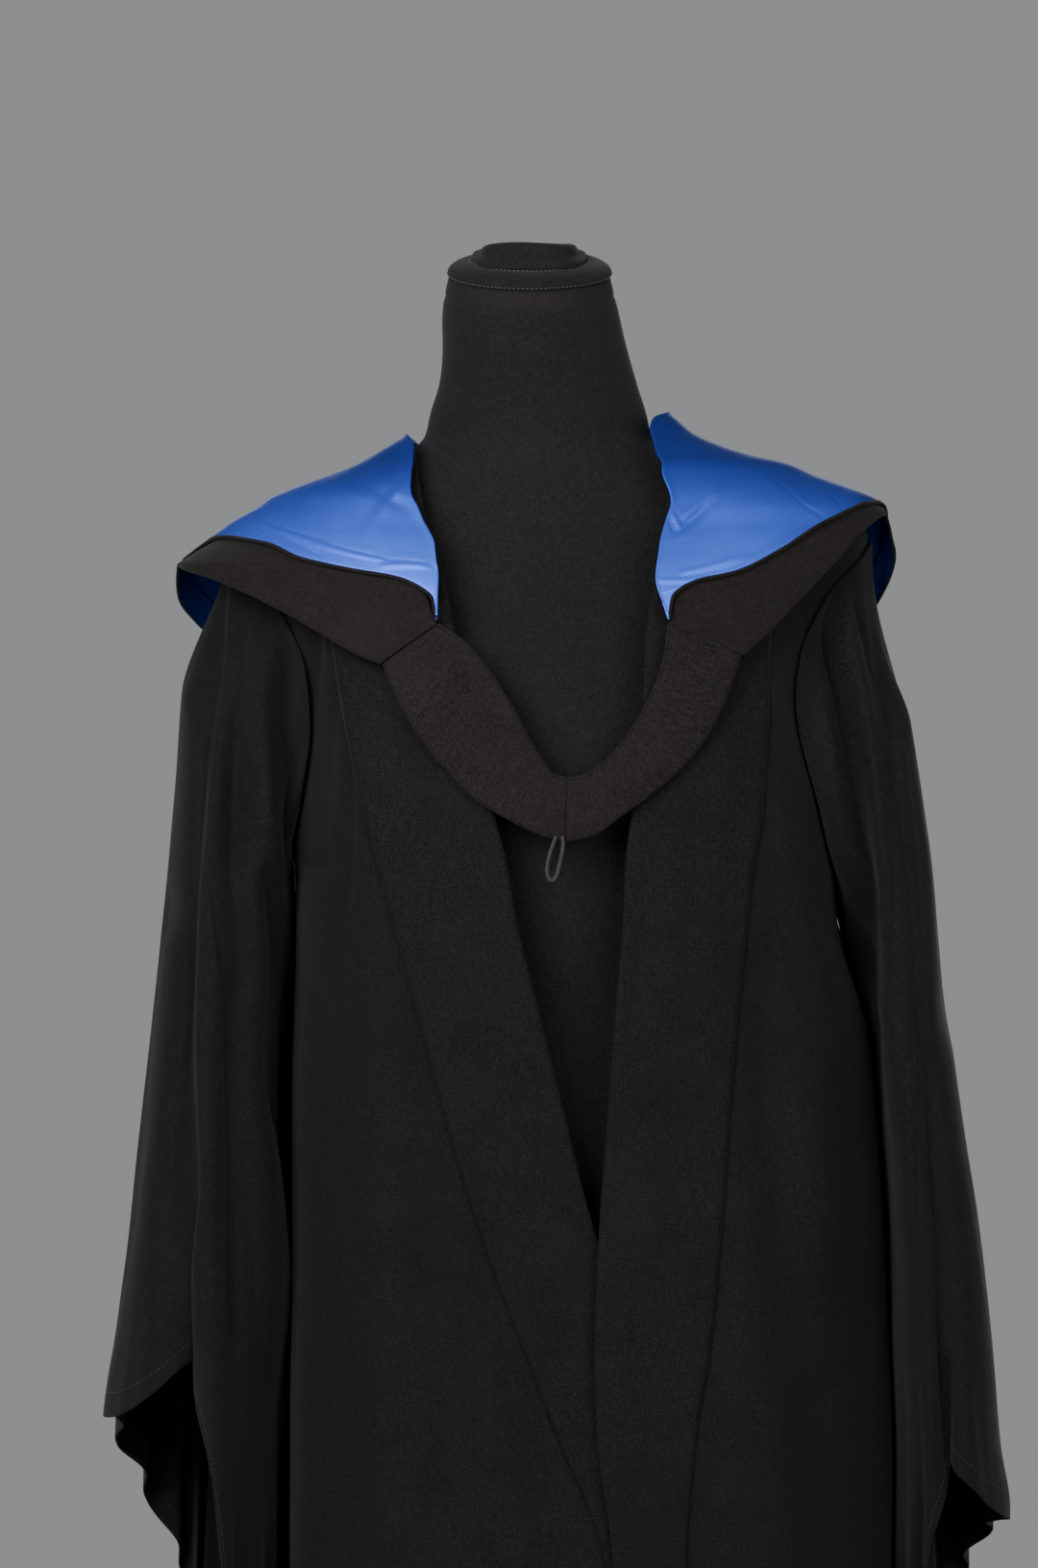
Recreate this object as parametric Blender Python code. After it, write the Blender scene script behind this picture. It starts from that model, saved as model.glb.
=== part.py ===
"""Graduation gown with its hood, worn by a limbless dress form on a stand.

Metres, +Z up, front towards -Y, +X to the viewer's right, floor at z = 0.
Each cloth piece is a wall between two edge curves on a named surface. A point
of the body's surfaces is given by an angle round the body, 0 at the centre
front and 90 at the viewer's right, and by its height.
"""

import bpy
import numpy as np

CLOTH = 0.0020
GAP = 0.0003
HOOD_GAP = 0.0014

HEM_Z = 0.28
UNDERARM_Z = 1.205
SHOULDER_Z = 1.412
ARMHOLE_ANGLE = 30.0

FACING_LAP = 0.014
OVERLAP_OUT = 0.0075

POLE_RADIUS = 0.0125
BASE_RADIUS = 0.158
BASE_THICK = 0.010
FORM_BOTTOM = 0.845

# Surface of the gown's body: half widths to each side, depth to front and back.
SECTION_COLUMNS = ("z", "left", "right", "front", "back", "square")
GOWN_ROWS = (
    (0.280, 0.235, 0.285, 0.190, 0.205, 2.40),
    (0.450, 0.200, 0.254, 0.172, 0.185, 2.50),
    (0.600, 0.172, 0.230, 0.156, 0.165, 2.60),
    (0.720, 0.162, 0.223, 0.148, 0.155, 2.70),
    (0.850, 0.160, 0.222, 0.141, 0.143, 2.80),
    (0.950, 0.159, 0.218, 0.136, 0.132, 2.80),
    (1.050, 0.159, 0.210, 0.133, 0.124, 2.80),
    (1.150, 0.160, 0.200, 0.134, 0.119, 2.70),
    (1.250, 0.163, 0.190, 0.134, 0.115, 2.60),
    (1.300, 0.166, 0.187, 0.128, 0.112, 2.50),
    (1.340, 0.172, 0.191, 0.118, 0.108, 2.40),
    (1.380, 0.188, 0.202, 0.103, 0.101, 2.30),
    (1.4075, 0.206, 0.218, 0.088, 0.093, 2.20),
    (1.4195, 0.204, 0.2205, 0.083, 0.089, 2.15),
    (1.4295, 0.1885, 0.2155, 0.078, 0.086, 2.10),
    (1.4405, 0.1690, 0.1940, 0.074, 0.083, 2.10),
    (1.4505, 0.1420, 0.1740, 0.071, 0.080, 2.10),
    (1.4585, 0.1220, 0.1420, 0.069, 0.078, 2.05),
    (1.4705, 0.1000, 0.1080, 0.066, 0.074, 2.00),
    (1.4880, 0.0880, 0.0910, 0.063, 0.070, 2.00),
)

# The back is cut wider than the front below the underarm, behind the sleeves.
BACK_FLARE = 0.12
FLARE_TOP = 1.18
FLARE_DEPTH = 0.045

# Outer surface of the hood on the shoulders and over the sleeve heads.
HOOD_ROWS = (
    (0.780, 0.185, 0.215, 0.160, 0.184, 2.60),
    (0.900, 0.185, 0.215, 0.158, 0.172, 2.60),
    (1.050, 0.190, 0.215, 0.154, 0.160, 2.60),
    (1.200, 0.215, 0.225, 0.152, 0.151, 2.40),
    (1.300, 0.240, 0.238, 0.144, 0.145, 2.20),
    (1.340, 0.243, 0.242, 0.135, 0.140, 2.15),
    (1.380, 0.249, 0.246, 0.122, 0.127, 2.10),
    (1.402, 0.247, 0.247, 0.110, 0.111, 2.10),
    (1.410, 0.236, 0.246, 0.105, 0.108, 2.10),
    (1.4185, 0.2217, 0.2435, 0.100, 0.106, 2.10),
    (1.4296, 0.2060, 0.2405, 0.093, 0.103, 2.10),
    (1.4400, 0.1885, 0.2360, 0.089, 0.100, 2.10),
    (1.4461, 0.1800, 0.2260, 0.087, 0.098, 2.10),
    (1.4510, 0.1690, 0.2139, 0.0855, 0.096, 2.10),
    (1.4608, 0.1417, 0.1860, 0.083, 0.093, 2.10),
    (1.4686, 0.1220, 0.1680, 0.081, 0.091, 2.05),
    (1.4750, 0.1105, 0.1424, 0.079, 0.089, 2.00),
    (1.4810, 0.1003, 0.1235, 0.077, 0.087, 2.00),
    (1.4900, 0.0870, 0.1040, 0.074, 0.084, 2.00),
    (1.4985, 0.0825, 0.0943, 0.071, 0.081, 2.00),
    (1.5050, 0.0800, 0.0860, 0.069, 0.079, 2.00),
)

# The form: half width and half depth of each ring, and where its centre lies.
FORM_COLUMNS = ("z", "wide", "deep", "centre_y")
FORM_ROWS = (
    (0.845, 0.118, 0.080, 0.006),
    (0.848, 0.130, 0.090, 0.006),
    (0.862, 0.143, 0.103, 0.006),
    (0.900, 0.148, 0.110, 0.006),
    (0.980, 0.147, 0.110, 0.004),
    (1.060, 0.128, 0.098, 0.000),
    (1.110, 0.120, 0.092, -0.002),
    (1.180, 0.130, 0.098, -0.006),
    (1.260, 0.146, 0.104, -0.008),
    (1.330, 0.158, 0.097, -0.002),
    (1.370, 0.170, 0.085, 0.002),
    (1.4045, 0.184, 0.075, 0.003),
    (1.4195, 0.184, 0.069, 0.003),
    (1.4305, 0.176, 0.065, 0.003),
    (1.4415, 0.160, 0.062, 0.003),
    (1.4515, 0.137, 0.060, 0.002),
    (1.4625, 0.110, 0.059, 0.001),
    (1.4750, 0.089, 0.058, 0.000),
    (1.487, 0.0765, 0.057, -0.001),
    (1.503, 0.0725, 0.056, -0.003),
    (1.522, 0.0665, 0.055, -0.006),
    (1.545, 0.0620, 0.054, -0.010),
    (1.570, 0.0590, 0.053, -0.013),
    (1.594, 0.0535, 0.049, -0.016),
)
NECK_TOP = 1.594
NECK_SHIFT = 0.006
CAP_TILT = 15.0

# Front bands: inner and outer edge as seen from the front.
BAND_COLUMNS = ("z", "inner", "outer")
FACING_LEFT_ROWS = (
    (0.280, 0.1450, 0.0600),
    (0.450, 0.1430, 0.0580),
    (0.600, 0.1370, 0.0520),
    (0.750, 0.1290, 0.0430),
    (0.844, 0.1050, 0.0089),
    (0.893, 0.0720, -0.0099),
    (0.962, 0.0383, -0.0355),
    (1.050, 0.0151, -0.0620),
    (1.113, -0.0005, -0.0780),
    (1.175, -0.0155, -0.0945),
    (1.206, -0.0205, -0.1020),
    (1.243, -0.0298, -0.1110),
    (1.316, -0.0470, -0.1270),
    (1.362, -0.0556, -0.1365),
    (1.392, -0.0621, -0.1440),
    (1.412, -0.0692, -0.1500),
    (1.440, -0.0760, -0.1480),
    (1.480, -0.0820, -0.0870),
)
FACING_RIGHT_ROWS = (
    (0.280, 0.0480, 0.1330),
    (0.450, 0.0480, 0.1310),
    (0.600, 0.0480, 0.1200),
    (0.749, 0.0475, 0.0936),
    (0.843, 0.0371, 0.1011),
    (0.893, 0.0358, 0.1093),
    (0.962, 0.0383, 0.1157),
    (1.050, 0.0450, 0.1239),
    (1.113, 0.0495, 0.1290),
    (1.175, 0.0544, 0.1350),
    (1.206, 0.0556, 0.1375),
    (1.243, 0.0599, 0.1440),
    (1.316, 0.0670, 0.1485),
    (1.362, 0.0700, 0.1515),
    (1.392, 0.0770, 0.1560),
    (1.412, 0.0820, 0.1600),
    (1.440, 0.0840, 0.1600),
    (1.480, 0.0850, 0.0915),
)

# Soft folds of the body: across at top and foot, heights, half width and rise.
FOLD_COLUMNS = ("side", "x_top", "z_top", "x_foot", "z_foot", "wide", "rise")
FOLD_ROWS = (
    ("front", -0.142, 1.300, -0.138, 0.300, 0.020, 0.008),
    ("front", -0.118, 1.370, -0.112, 1.150, 0.014, 0.004),
    ("front", -0.090, 1.150, -0.085, 0.280, 0.026, 0.007),
    ("front", -0.030, 0.820, -0.040, 0.240, 0.026, 0.009),
    ("front", 0.150, 1.330, 0.176, 1.210, 0.013, 0.004),
    ("front", 0.146, 1.270, 0.178, 1.000, 0.017, 0.006),
    ("front", 0.180, 1.330, 0.200, 0.300, 0.018, 0.006),
    ("front", 0.150, 1.010, 0.165, 0.240, 0.024, 0.008),
)
BACK_PLEATS = 8
BACK_PLEAT_TOP = 1.36
BACK_PLEAT_RISE = 0.015

# Sleeve sections: outer and inner side, front and back of the flattened tube.
SLEEVE_COLUMNS = ("z", "outer", "inner", "front", "back")
SLEEVE_LEFT_ROWS = (
    (0.560, 0.2950, 0.1860, 0.100, 0.135),
    (0.720, 0.2960, 0.1760, 0.112, 0.150),
    (0.820, 0.2930, 0.1740, 0.116, 0.150),
    (0.890, 0.2830, 0.1740, 0.112, 0.142),
    (0.958, 0.2743, 0.1740, 0.107, 0.135),
    (1.062, 0.2627, 0.1740, 0.100, 0.125),
    (1.135, 0.2546, 0.1750, 0.096, 0.118),
    (1.199, 0.2485, 0.1750, 0.092, 0.110),
    (1.257, 0.2431, 0.1740, 0.088, 0.094),
    (1.306, 0.2397, 0.1700, 0.083, 0.082),
    (1.340, 0.2356, 0.1680, 0.077, 0.070),
    (1.362, 0.2330, 0.1700, 0.070, 0.060),
    (1.392, 0.2251, 0.1750, 0.055, 0.048),
    (1.415, 0.2080, 0.1800, 0.040, 0.036),
)
SLEEVE_RIGHT_ROWS = (
    (0.560, 0.3190, 0.2500, 0.100, 0.135),
    (0.720, 0.3160, 0.2405, 0.112, 0.150),
    (0.766, 0.3166, 0.2395, 0.114, 0.150),
    (0.811, 0.3098, 0.2395, 0.114, 0.150),
    (0.878, 0.3035, 0.2375, 0.112, 0.145),
    (0.956, 0.2946, 0.2340, 0.107, 0.135),
    (1.022, 0.2845, 0.2290, 0.102, 0.128),
    (1.096, 0.2737, 0.2220, 0.097, 0.122),
    (1.179, 0.2616, 0.2180, 0.092, 0.108),
    (1.263, 0.2496, 0.2095, 0.086, 0.092),
    (1.323, 0.2415, 0.2000, 0.080, 0.076),
    (1.381, 0.2328, 0.1960, 0.064, 0.056),
    (1.395, 0.2300, 0.1960, 0.055, 0.048),
    (1.415, 0.2190, 0.1980, 0.042, 0.038),
)
# Height of the sleeve's hem round the tube: 0 outer, 90 front, 180 inner.
HEM_COLUMNS = ("angle", "left", "right")
HEM_ROWS = (
    (0.0, 0.824, 0.750),
    (30.0, 0.832, 0.764),
    (60.0, 0.850, 0.783),
    (80.0, 0.868, 0.797),
    (93.0, 0.877, 0.805),
    (104.0, 0.830, 0.811),
    (114.0, 0.735, 0.770),
    (128.0, 0.660, 0.690),
    (150.0, 0.610, 0.625),
    (180.0, 0.585, 0.595),
    (215.0, 0.575, 0.575),
    (245.0, 0.600, 0.590),
    (280.0, 0.670, 0.640),
    (315.0, 0.755, 0.700),
    (340.0, 0.800, 0.735),
    (360.0, 0.824, 0.750),
)
# Grooves of a sleeve: angle at the armhole and at the hem, depths down the groove.
GROOVE_COLUMNS = ("top", "hem", "deep_top", "deep_middle", "deep_hem")
GROOVES_LEFT = (
    (22.0, 44.0, 0.004, 0.002, 0.003),
    (50.0, 97.0, 0.008, 0.012, 0.022),
    (72.0, 130.0, 0.007, 0.009, 0.009),
    (98.0, 152.0, 0.007, 0.010, 0.010),
    (130.0, 172.0, 0.008, 0.007, 0.008),
    (166.0, 194.0, 0.004, 0.006, 0.010),
    (202.0, 222.0, 0.005, 0.007, 0.012),
    (232.0, 250.0, 0.006, 0.010, 0.015),
    (262.0, 272.0, 0.007, 0.013, 0.018),
    (291.0, 294.0, 0.007, 0.013, 0.016),
    (318.0, 319.0, 0.006, 0.010, 0.013),
    (344.0, 347.0, 0.005, 0.008, 0.010),
)
GROOVES_RIGHT = (
    (18.0, 50.0, 0.004, 0.002, 0.003),
    (44.0, 108.0, 0.007, 0.009, 0.020),
    (68.0, 131.0, 0.008, 0.008, 0.007),
    (96.0, 150.0, 0.007, 0.008, 0.008),
    (128.0, 168.0, 0.008, 0.008, 0.008),
    (164.0, 188.0, 0.004, 0.006, 0.008),
    (200.0, 216.0, 0.005, 0.007, 0.010),
    (232.0, 247.0, 0.006, 0.010, 0.012),
    (262.0, 270.0, 0.007, 0.013, 0.016),
    (291.0, 293.0, 0.007, 0.013, 0.016),
    (318.0, 318.0, 0.006, 0.010, 0.013),
    (344.0, 348.0, 0.005, 0.008, 0.010),
)
SAMPLES_PER_GROOVE = 5

# Hood pieces, both edges as angle from the centre front and height.
EDGE_COLUMNS = ("low_angle", "low_z", "high_angle", "high_z")
LINING_LEFT_ROWS = (
    (15.6, 1.3660, 15.4, 1.3700),
    (16.0, 1.3790, 15.3, 1.3960),
    (21.0, 1.3925, 17.0, 1.4130),
    (30.0, 1.3990, 22.0, 1.4320),
    (40.0, 1.4065, 30.0, 1.4520),
    (52.0, 1.4160, 42.0, 1.4680),
    (72.0, 1.4203, 62.0, 1.4840),
    (90.0, 1.4185, 90.0, 1.4890),
    (108.0, 1.3900, 112.0, 1.4860),
    (125.0, 1.3400, 130.0, 1.4800),
    (142.0, 1.2500, 146.0, 1.4740),
    (160.0, 1.1000, 163.0, 1.4700),
    (172.0, 1.0000, 173.0, 1.4690),
    (180.0, 0.9600, 180.0, 1.4690),
)
LINING_RIGHT_ROWS = (
    (20.0, 1.3660, 19.6, 1.3700),
    (20.5, 1.3800, 17.8, 1.3930),
    (24.0, 1.3908, 18.5, 1.4120),
    (31.0, 1.3970, 21.0, 1.4380),
    (40.0, 1.4120, 27.0, 1.4650),
    (52.0, 1.4310, 40.0, 1.4830),
    (69.0, 1.4427, 58.0, 1.5000),
    (90.0, 1.4440, 90.0, 1.5035),
    (108.0, 1.4100, 112.0, 1.4980),
    (125.0, 1.3500, 130.0, 1.4880),
    (142.0, 1.2550, 146.0, 1.4780),
    (160.0, 1.1000, 163.0, 1.4710),
    (172.0, 1.0000, 173.0, 1.4690),
    (180.0, 0.9600, 180.0, 1.4690),
)
SHELL_LEFT_ROWS = (
    (25.0, 1.3380, 15.6, 1.3640),
    (29.0, 1.3440, 18.0, 1.3880),
    (41.0, 1.3693, 28.0, 1.4060),
    (51.0, 1.3842, 38.0, 1.4150),
    (62.0, 1.3935, 50.0, 1.4240),
    (76.0, 1.3985, 68.0, 1.4270),
    (87.0, 1.4010, 84.0, 1.4240),
    (95.0, 1.3780, 98.0, 1.4070),
    (107.0, 1.3600, 112.0, 1.3815),
    (120.0, 1.3350, 126.0, 1.3480),
    (135.0, 1.2200, 141.0, 1.2640),
    (152.0, 1.0000, 158.0, 1.1300),
    (168.0, 0.8600, 170.0, 1.0250),
    (180.0, 0.8200, 180.0, 0.9750),
)
SHELL_RIGHT_ROWS = (
    (33.0, 1.3430, 20.2, 1.3640),
    (36.5, 1.3540, 22.0, 1.3900),
    (43.0, 1.3760, 31.0, 1.4050),
    (51.0, 1.4010, 41.0, 1.4210),
    (62.0, 1.4235, 53.0, 1.4395),
    (76.0, 1.4340, 69.0, 1.4490),
    (87.0, 1.4360, 84.0, 1.4490),
    (95.0, 1.4050, 98.0, 1.4300),
    (107.0, 1.3750, 112.0, 1.3970),
    (120.0, 1.3400, 126.0, 1.3560),
    (135.0, 1.2200, 141.0, 1.2680),
    (152.0, 1.0000, 158.0, 1.1300),
    (168.0, 0.8600, 170.0, 1.0250),
    (180.0, 0.8200, 180.0, 0.9750),
)
# Neckband of the V: outer (lower) and inner (higher) edge as seen from the front.
NECKBAND_COLUMNS = ("outer_x", "outer_z", "inner_x", "inner_z")
NECKBAND_LEFT_ROWS = (
    (-0.1023, 1.3380, -0.0655, 1.3640),
    (-0.0920, 1.3140, -0.0500, 1.3540),
    (-0.0758, 1.2874, -0.0345, 1.3370),
    (-0.0583, 1.2671, -0.0200, 1.3150),
    (-0.0400, 1.2495, -0.0085, 1.2940),
    (-0.0180, 1.2365, 0.0020, 1.2760),
    (0.0030, 1.2270, 0.0090, 1.2670),
    (0.0168, 1.2233, 0.0179, 1.2642),
)
NECKBAND_RIGHT_ROWS = (
    (0.0168, 1.2233, 0.0179, 1.2642),
    (0.0340, 1.2268, 0.0290, 1.2660),
    (0.0530, 1.2395, 0.0380, 1.2715),
    (0.0740, 1.2545, 0.0500, 1.2825),
    (0.0985, 1.2760, 0.0620, 1.2985),
    (0.1162, 1.3013, 0.0730, 1.3190),
    (0.1264, 1.3248, 0.0810, 1.3410),
    (0.1329, 1.3430, 0.0846, 1.3640),
)
LOOP_PATH = (
    (0.0112, 1.2275),
    (0.0090, 1.2216),
    (0.0062, 1.2140),
    (0.0042, 1.2050),
    (0.0055, 1.1985),
    (0.0085, 1.1970),
    (0.0115, 1.2000),
    (0.0128, 1.2070),
    (0.0145, 1.2150),
    (0.0160, 1.2212),
    (0.0150, 1.2275),
)
LOOP_RADIUS = 0.0011

COLOURS = {
    "gown": (0.012, 0.011, 0.011),
    "hood": (0.020, 0.017, 0.015),
    "satin": (0.035, 0.120, 0.520),
    "jersey": (0.018, 0.018, 0.020),
    "metal": (0.025, 0.025, 0.028),
}


def clear_scene():
    for thing in list(bpy.data.objects):
        bpy.data.objects.remove(thing)


def columns(names, rows):
    return {name: np.array([row[i] for row in rows]) for i, name in enumerate(names)}


def curve(xs, ys, x):
    """The smooth value at x through rows with rising xs, with no overshoot."""
    xs, ys = np.asarray(xs, float), np.asarray(ys, float)
    run = np.diff(xs)
    rate = np.diff(ys) / run
    slope = np.zeros(len(xs))
    slope[0], slope[-1] = rate[0], rate[-1]
    for i in range(1, len(xs) - 1):
        if rate[i - 1] * rate[i] > 0:
            w1 = 2 * run[i] + run[i - 1]
            w2 = run[i] + 2 * run[i - 1]
            slope[i] = (w1 + w2) / (w1 / rate[i - 1] + w2 / rate[i])
    x = np.clip(np.asarray(x, float), xs[0], xs[-1])
    i = np.clip(np.searchsorted(xs, x, side="right") - 1, 0, len(xs) - 2)
    t = (x - xs[i]) / run[i]
    ends = (2 * t**3 - 3 * t**2 + 1) * ys[i] + (3 * t**2 - 2 * t**3) * ys[i + 1]
    turns = (t**3 - 2 * t**2 + t) * slope[i] + (t**3 - t**2) * slope[i + 1]
    return ends + turns * run[i]


def ease(t):
    t = np.clip(t, 0.0, 1.0)
    return t * t * (3 - 2 * t)


def section_point(table, angle, z):
    """Point on a surface round the body."""
    a = np.radians(angle)
    s, c = np.sin(a), np.cos(a)
    wide = np.where(s < 0, curve(table["z"], table["left"], z), curve(table["z"], table["right"], z))
    deep = np.where(c > 0, curve(table["z"], table["front"], z), curve(table["z"], table["back"], z))
    n = curve(table["z"], table["square"], z)
    reach = (np.abs(s) ** n + np.abs(c) ** n) ** (-1 / n)
    return np.stack([wide * s * reach, -deep * c * reach, z + 0 * s], axis=-1)


def angle_at(table, x, z):
    """Angle of the front point whose distance across is x."""
    wide = np.where(x < 0, curve(table["z"], table["left"], z), curve(table["z"], table["right"], z))
    n = curve(table["z"], table["square"], z)
    part = np.clip(x / wide, -0.9999, 0.9999)
    return np.degrees(np.arctan2(part, (1 - np.abs(part) ** n) ** (1 / n)))


def outward(surface, u, v, du, dv):
    """Unit normal of a surface of two numbers, away from the body."""
    along = surface(u + du, v) - surface(u - du, v)
    up = surface(u, v + dv) - surface(u, v - dv)
    normal = np.cross(along, up)
    return normal / np.maximum(np.linalg.norm(normal, axis=-1, keepdims=True), 1e-12)


GOWN = columns(SECTION_COLUMNS, GOWN_ROWS)
HOOD = columns(SECTION_COLUMNS, HOOD_ROWS)
FORM = columns(FORM_COLUMNS, FORM_ROWS)


def pleat_part(z):
    """How far down the back's pleats a height is, 0 at their top and 1 at the hem."""
    return np.clip((BACK_PLEAT_TOP - z) / (BACK_PLEAT_TOP - HEM_Z), 0, 1)


def pleat_spread(z):
    side = np.minimum(curve(GOWN["z"], GOWN["left"], z), curve(GOWN["z"], GOWN["right"], z))
    return np.minimum(0.112 + 0.110 * pleat_part(z), 0.74 * side)


def pleat_x(k, z):
    """Where the middle of a back pleat runs, across."""
    share = (k + 0.5) / BACK_PLEATS * 2 - 1
    t = pleat_part(z)
    return share * pleat_spread(z) + (0.018 + 0.006 * np.sin(3.1 * k)) * t


def fold_rise(x, y, z):
    """How far the soft folds stand out from the gown's body."""
    rise = np.zeros(np.broadcast(x, z).shape)
    for side, x_top, z_top, x_foot, z_foot, wide, height in FOLD_ROWS:
        t = (z_top - z) / (z_top - z_foot)
        middle = x_top + (x_foot - x_top) * t
        shape = np.exp(-(((x - middle) / wide) ** 2)) * ease(t * 4) * ease((1.3 - t) * 4) * (0.7 + 0.6 * t)
        rise = rise + height * shape * (y < 0)
    t = pleat_part(z)
    for k in range(BACK_PLEATS):
        uneven = 1 + 0.25 * np.sin(2.3 * k + 1.0)
        shape = np.exp(-(((x - pleat_x(k, z)) / (0.0085 + 0.0100 * t)) ** 2))
        rise = rise + BACK_PLEAT_RISE * uneven * shape * (y > 0) * ease(t * 4) * (0.7 + 0.5 * t)
    return rise


def back_flare(y, z):
    """How much wider the back is than its section, by place."""
    return 1 + BACK_FLARE * ease(y / FLARE_DEPTH) * ease((FLARE_TOP - z) / 0.14)


def gown_point(angle, z, out=0.0):
    """Point on the gown's body, with its folds, moved out by a distance."""

    def plain(a, h):
        spot = section_point(GOWN, a, h)
        spot[..., 0] *= back_flare(spot[..., 1], h)
        return spot

    base = plain(angle, z)
    normal = outward(plain, angle, z, 0.2, 0.0015)
    rise = fold_rise(base[..., 0], base[..., 1], base[..., 2])
    return base + normal * (rise + out)[..., None]


def hood_point(angle, z, out=0.0):
    def plain(a, h):
        return section_point(HOOD, a, h)

    return plain(angle, z) + outward(plain, angle, z, 0.2, 0.0012) * (out + 0 * angle)[..., None]


def skin(inner, outer, ring=False):
    """Vertices and triangles of a wall between two grids of points."""
    rows, cols = inner.shape[:2]
    points = np.concatenate([outer.reshape(-1, 3), inner.reshape(-1, 3)])
    half = rows * cols
    faces = []
    last = cols if ring else cols - 1
    for i in range(rows - 1):
        for j in range(last):
            k = (j + 1) % cols
            a, b, c, d = i * cols + j, i * cols + k, (i + 1) * cols + k, (i + 1) * cols + j
            faces += [(a, b, c), (a, c, d)]
            faces += [(half + a, half + c, half + b), (half + a, half + d, half + c)]
    for j in range(last):
        k = (j + 1) % cols
        for a, b in (((rows - 1) * cols + j, (rows - 1) * cols + k), (k, j)):
            faces += [(a, b, half + b), (a, half + b, half + a)]
    if not ring:
        for i in range(rows - 1):
            for a, b in ((i * cols, (i + 1) * cols), ((i + 2) * cols - 1, (i + 1) * cols - 1)):
                faces += [(a, b, half + b), (a, half + b, half + a)]
    return points, facing_out(points, faces)


def facing_out(points, faces):
    """The triangles turned so that the closed body they make faces outwards."""
    faces = np.array(faces)
    corners = points[faces]
    volume = np.einsum("ij,ij->i", corners[:, 0], np.cross(corners[:, 1], corners[:, 2])).sum()
    return faces if volume > 0 else faces[:, ::-1]


def material_of(name):
    found = bpy.data.materials.get(name)
    if found is None:
        found = bpy.data.materials.new(name)
        found.use_nodes = True
        shader = found.node_tree.nodes["Principled BSDF"]
        shader.inputs["Base Color"].default_value = (*COLOURS[name], 1.0)
        shader.inputs["Roughness"].default_value = 0.4 if name in ("satin", "metal") else 0.9
        shader.inputs["Metallic"].default_value = 0.0
        found.diffuse_color = (*COLOURS[name], 1.0)
    return found


def add_object(name, points, faces, material):
    mesh = bpy.data.meshes.new(name)
    mesh.from_pydata([tuple(p) for p in points], [], [tuple(int(i) for i in f) for f in faces])
    mesh.validate()
    mesh.materials.append(material_of(material))
    thing = bpy.data.objects.new(name, mesh)
    bpy.context.scene.collection.objects.link(thing)
    return thing


def lathe(name, rings, material, count=28):
    """A whole body from closed rings of points, from the bottom up, closed at both ends."""
    rings = np.array(rings)
    rows = len(rings)
    points = rings.reshape(-1, 3)
    faces = []
    for i in range(rows - 1):
        for j in range(count):
            k = (j + 1) % count
            a, b, c, d = i * count + j, i * count + k, (i + 1) * count + k, (i + 1) * count + j
            faces += [(a, b, c), (a, c, d)]
    low, high = len(points), len(points) + 1
    points = np.concatenate([points, [rings[0].mean(axis=0), rings[-1].mean(axis=0)]])
    for j in range(count):
        k = (j + 1) % count
        faces += [(low, k, j), (high, (rows - 1) * count + j, (rows - 1) * count + k)]
    return add_object(name, points, facing_out(points, faces), material)


def ellipse(wide, deep, centre, count=28, tilt=0.0, square=2.0):
    """A ring of points round an upright axis, tipped forwards by tilt degrees."""
    a = np.radians(np.arange(count) * 360.0 / count)
    s, c = np.sin(a), np.cos(a)
    reach = (np.abs(s) ** square + np.abs(c) ** square) ** (-1 / square)
    x, y = wide * s * reach, -deep * c * reach
    lean = np.radians(tilt)
    cx, cy, cz = centre
    return np.stack([cx - x, cy + y * np.cos(lean), cz + y * np.sin(lean)], axis=-1)


def neck_lean(z):
    """How far the neck is tipped forwards at a height, in degrees."""
    return CAP_TILT * ease((z - 1.50) / 0.094)


def form_ring(z, grow=0.0, count=28):
    wide = curve(FORM["z"], FORM["wide"], z) + grow
    deep = curve(FORM["z"], FORM["deep"], z) + grow
    shift = -NECK_SHIFT * ease((z - 1.47) / 0.08)
    lean = neck_lean(z)
    square = 2.0 + 0.25 * ease((1.40 - z) / 0.1)
    return ellipse(wide, deep, (shift, curve(FORM["z"], FORM["centre_y"], z), z), count, lean, square)


def build_form():
    heights = [0.845, 0.848, 0.862, 0.90, 0.96, 1.02, 1.08, 1.14, 1.20, 1.26, 1.31, 1.35, 1.38, 1.4045]
    heights += [1.4195, 1.4285, 1.4375, 1.4455, 1.4545, 1.4645, 1.4750, 1.486, 1.50, 1.522, 1.545, 1.570, NECK_TOP]
    lathe("form_torso", [form_ring(z) for z in heights], "jersey")
    tip = np.radians(neck_lean(NECK_TOP))
    axis = np.array([0.0, -np.sin(tip), np.cos(tip)])
    top = np.array([-NECK_SHIFT, float(curve(FORM["z"], FORM["centre_y"], NECK_TOP)), NECK_TOP])

    def tier(name, steps):
        rings = []
        for along, wide, deep in steps:
            rings.append(ellipse(wide, deep, tuple(top + axis * along), 28, neck_lean(top[2])))
        lathe(name, rings, "jersey")

    tier(
        "form_neck_disc",
        [(0.0003, 0.0520, 0.0476), (0.0020, 0.0545, 0.0500), (0.0085, 0.0545, 0.0500), (0.0106, 0.0520, 0.0476)],
    )
    tier(
        "form_neck_cap",
        [(0.0109, 0.0385, 0.0352), (0.0140, 0.0380, 0.0348), (0.0146, 0.0312, 0.0284), (0.0192, 0.0306, 0.0278)]
        + [(0.0210, 0.0280, 0.0254)],
    )


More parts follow.
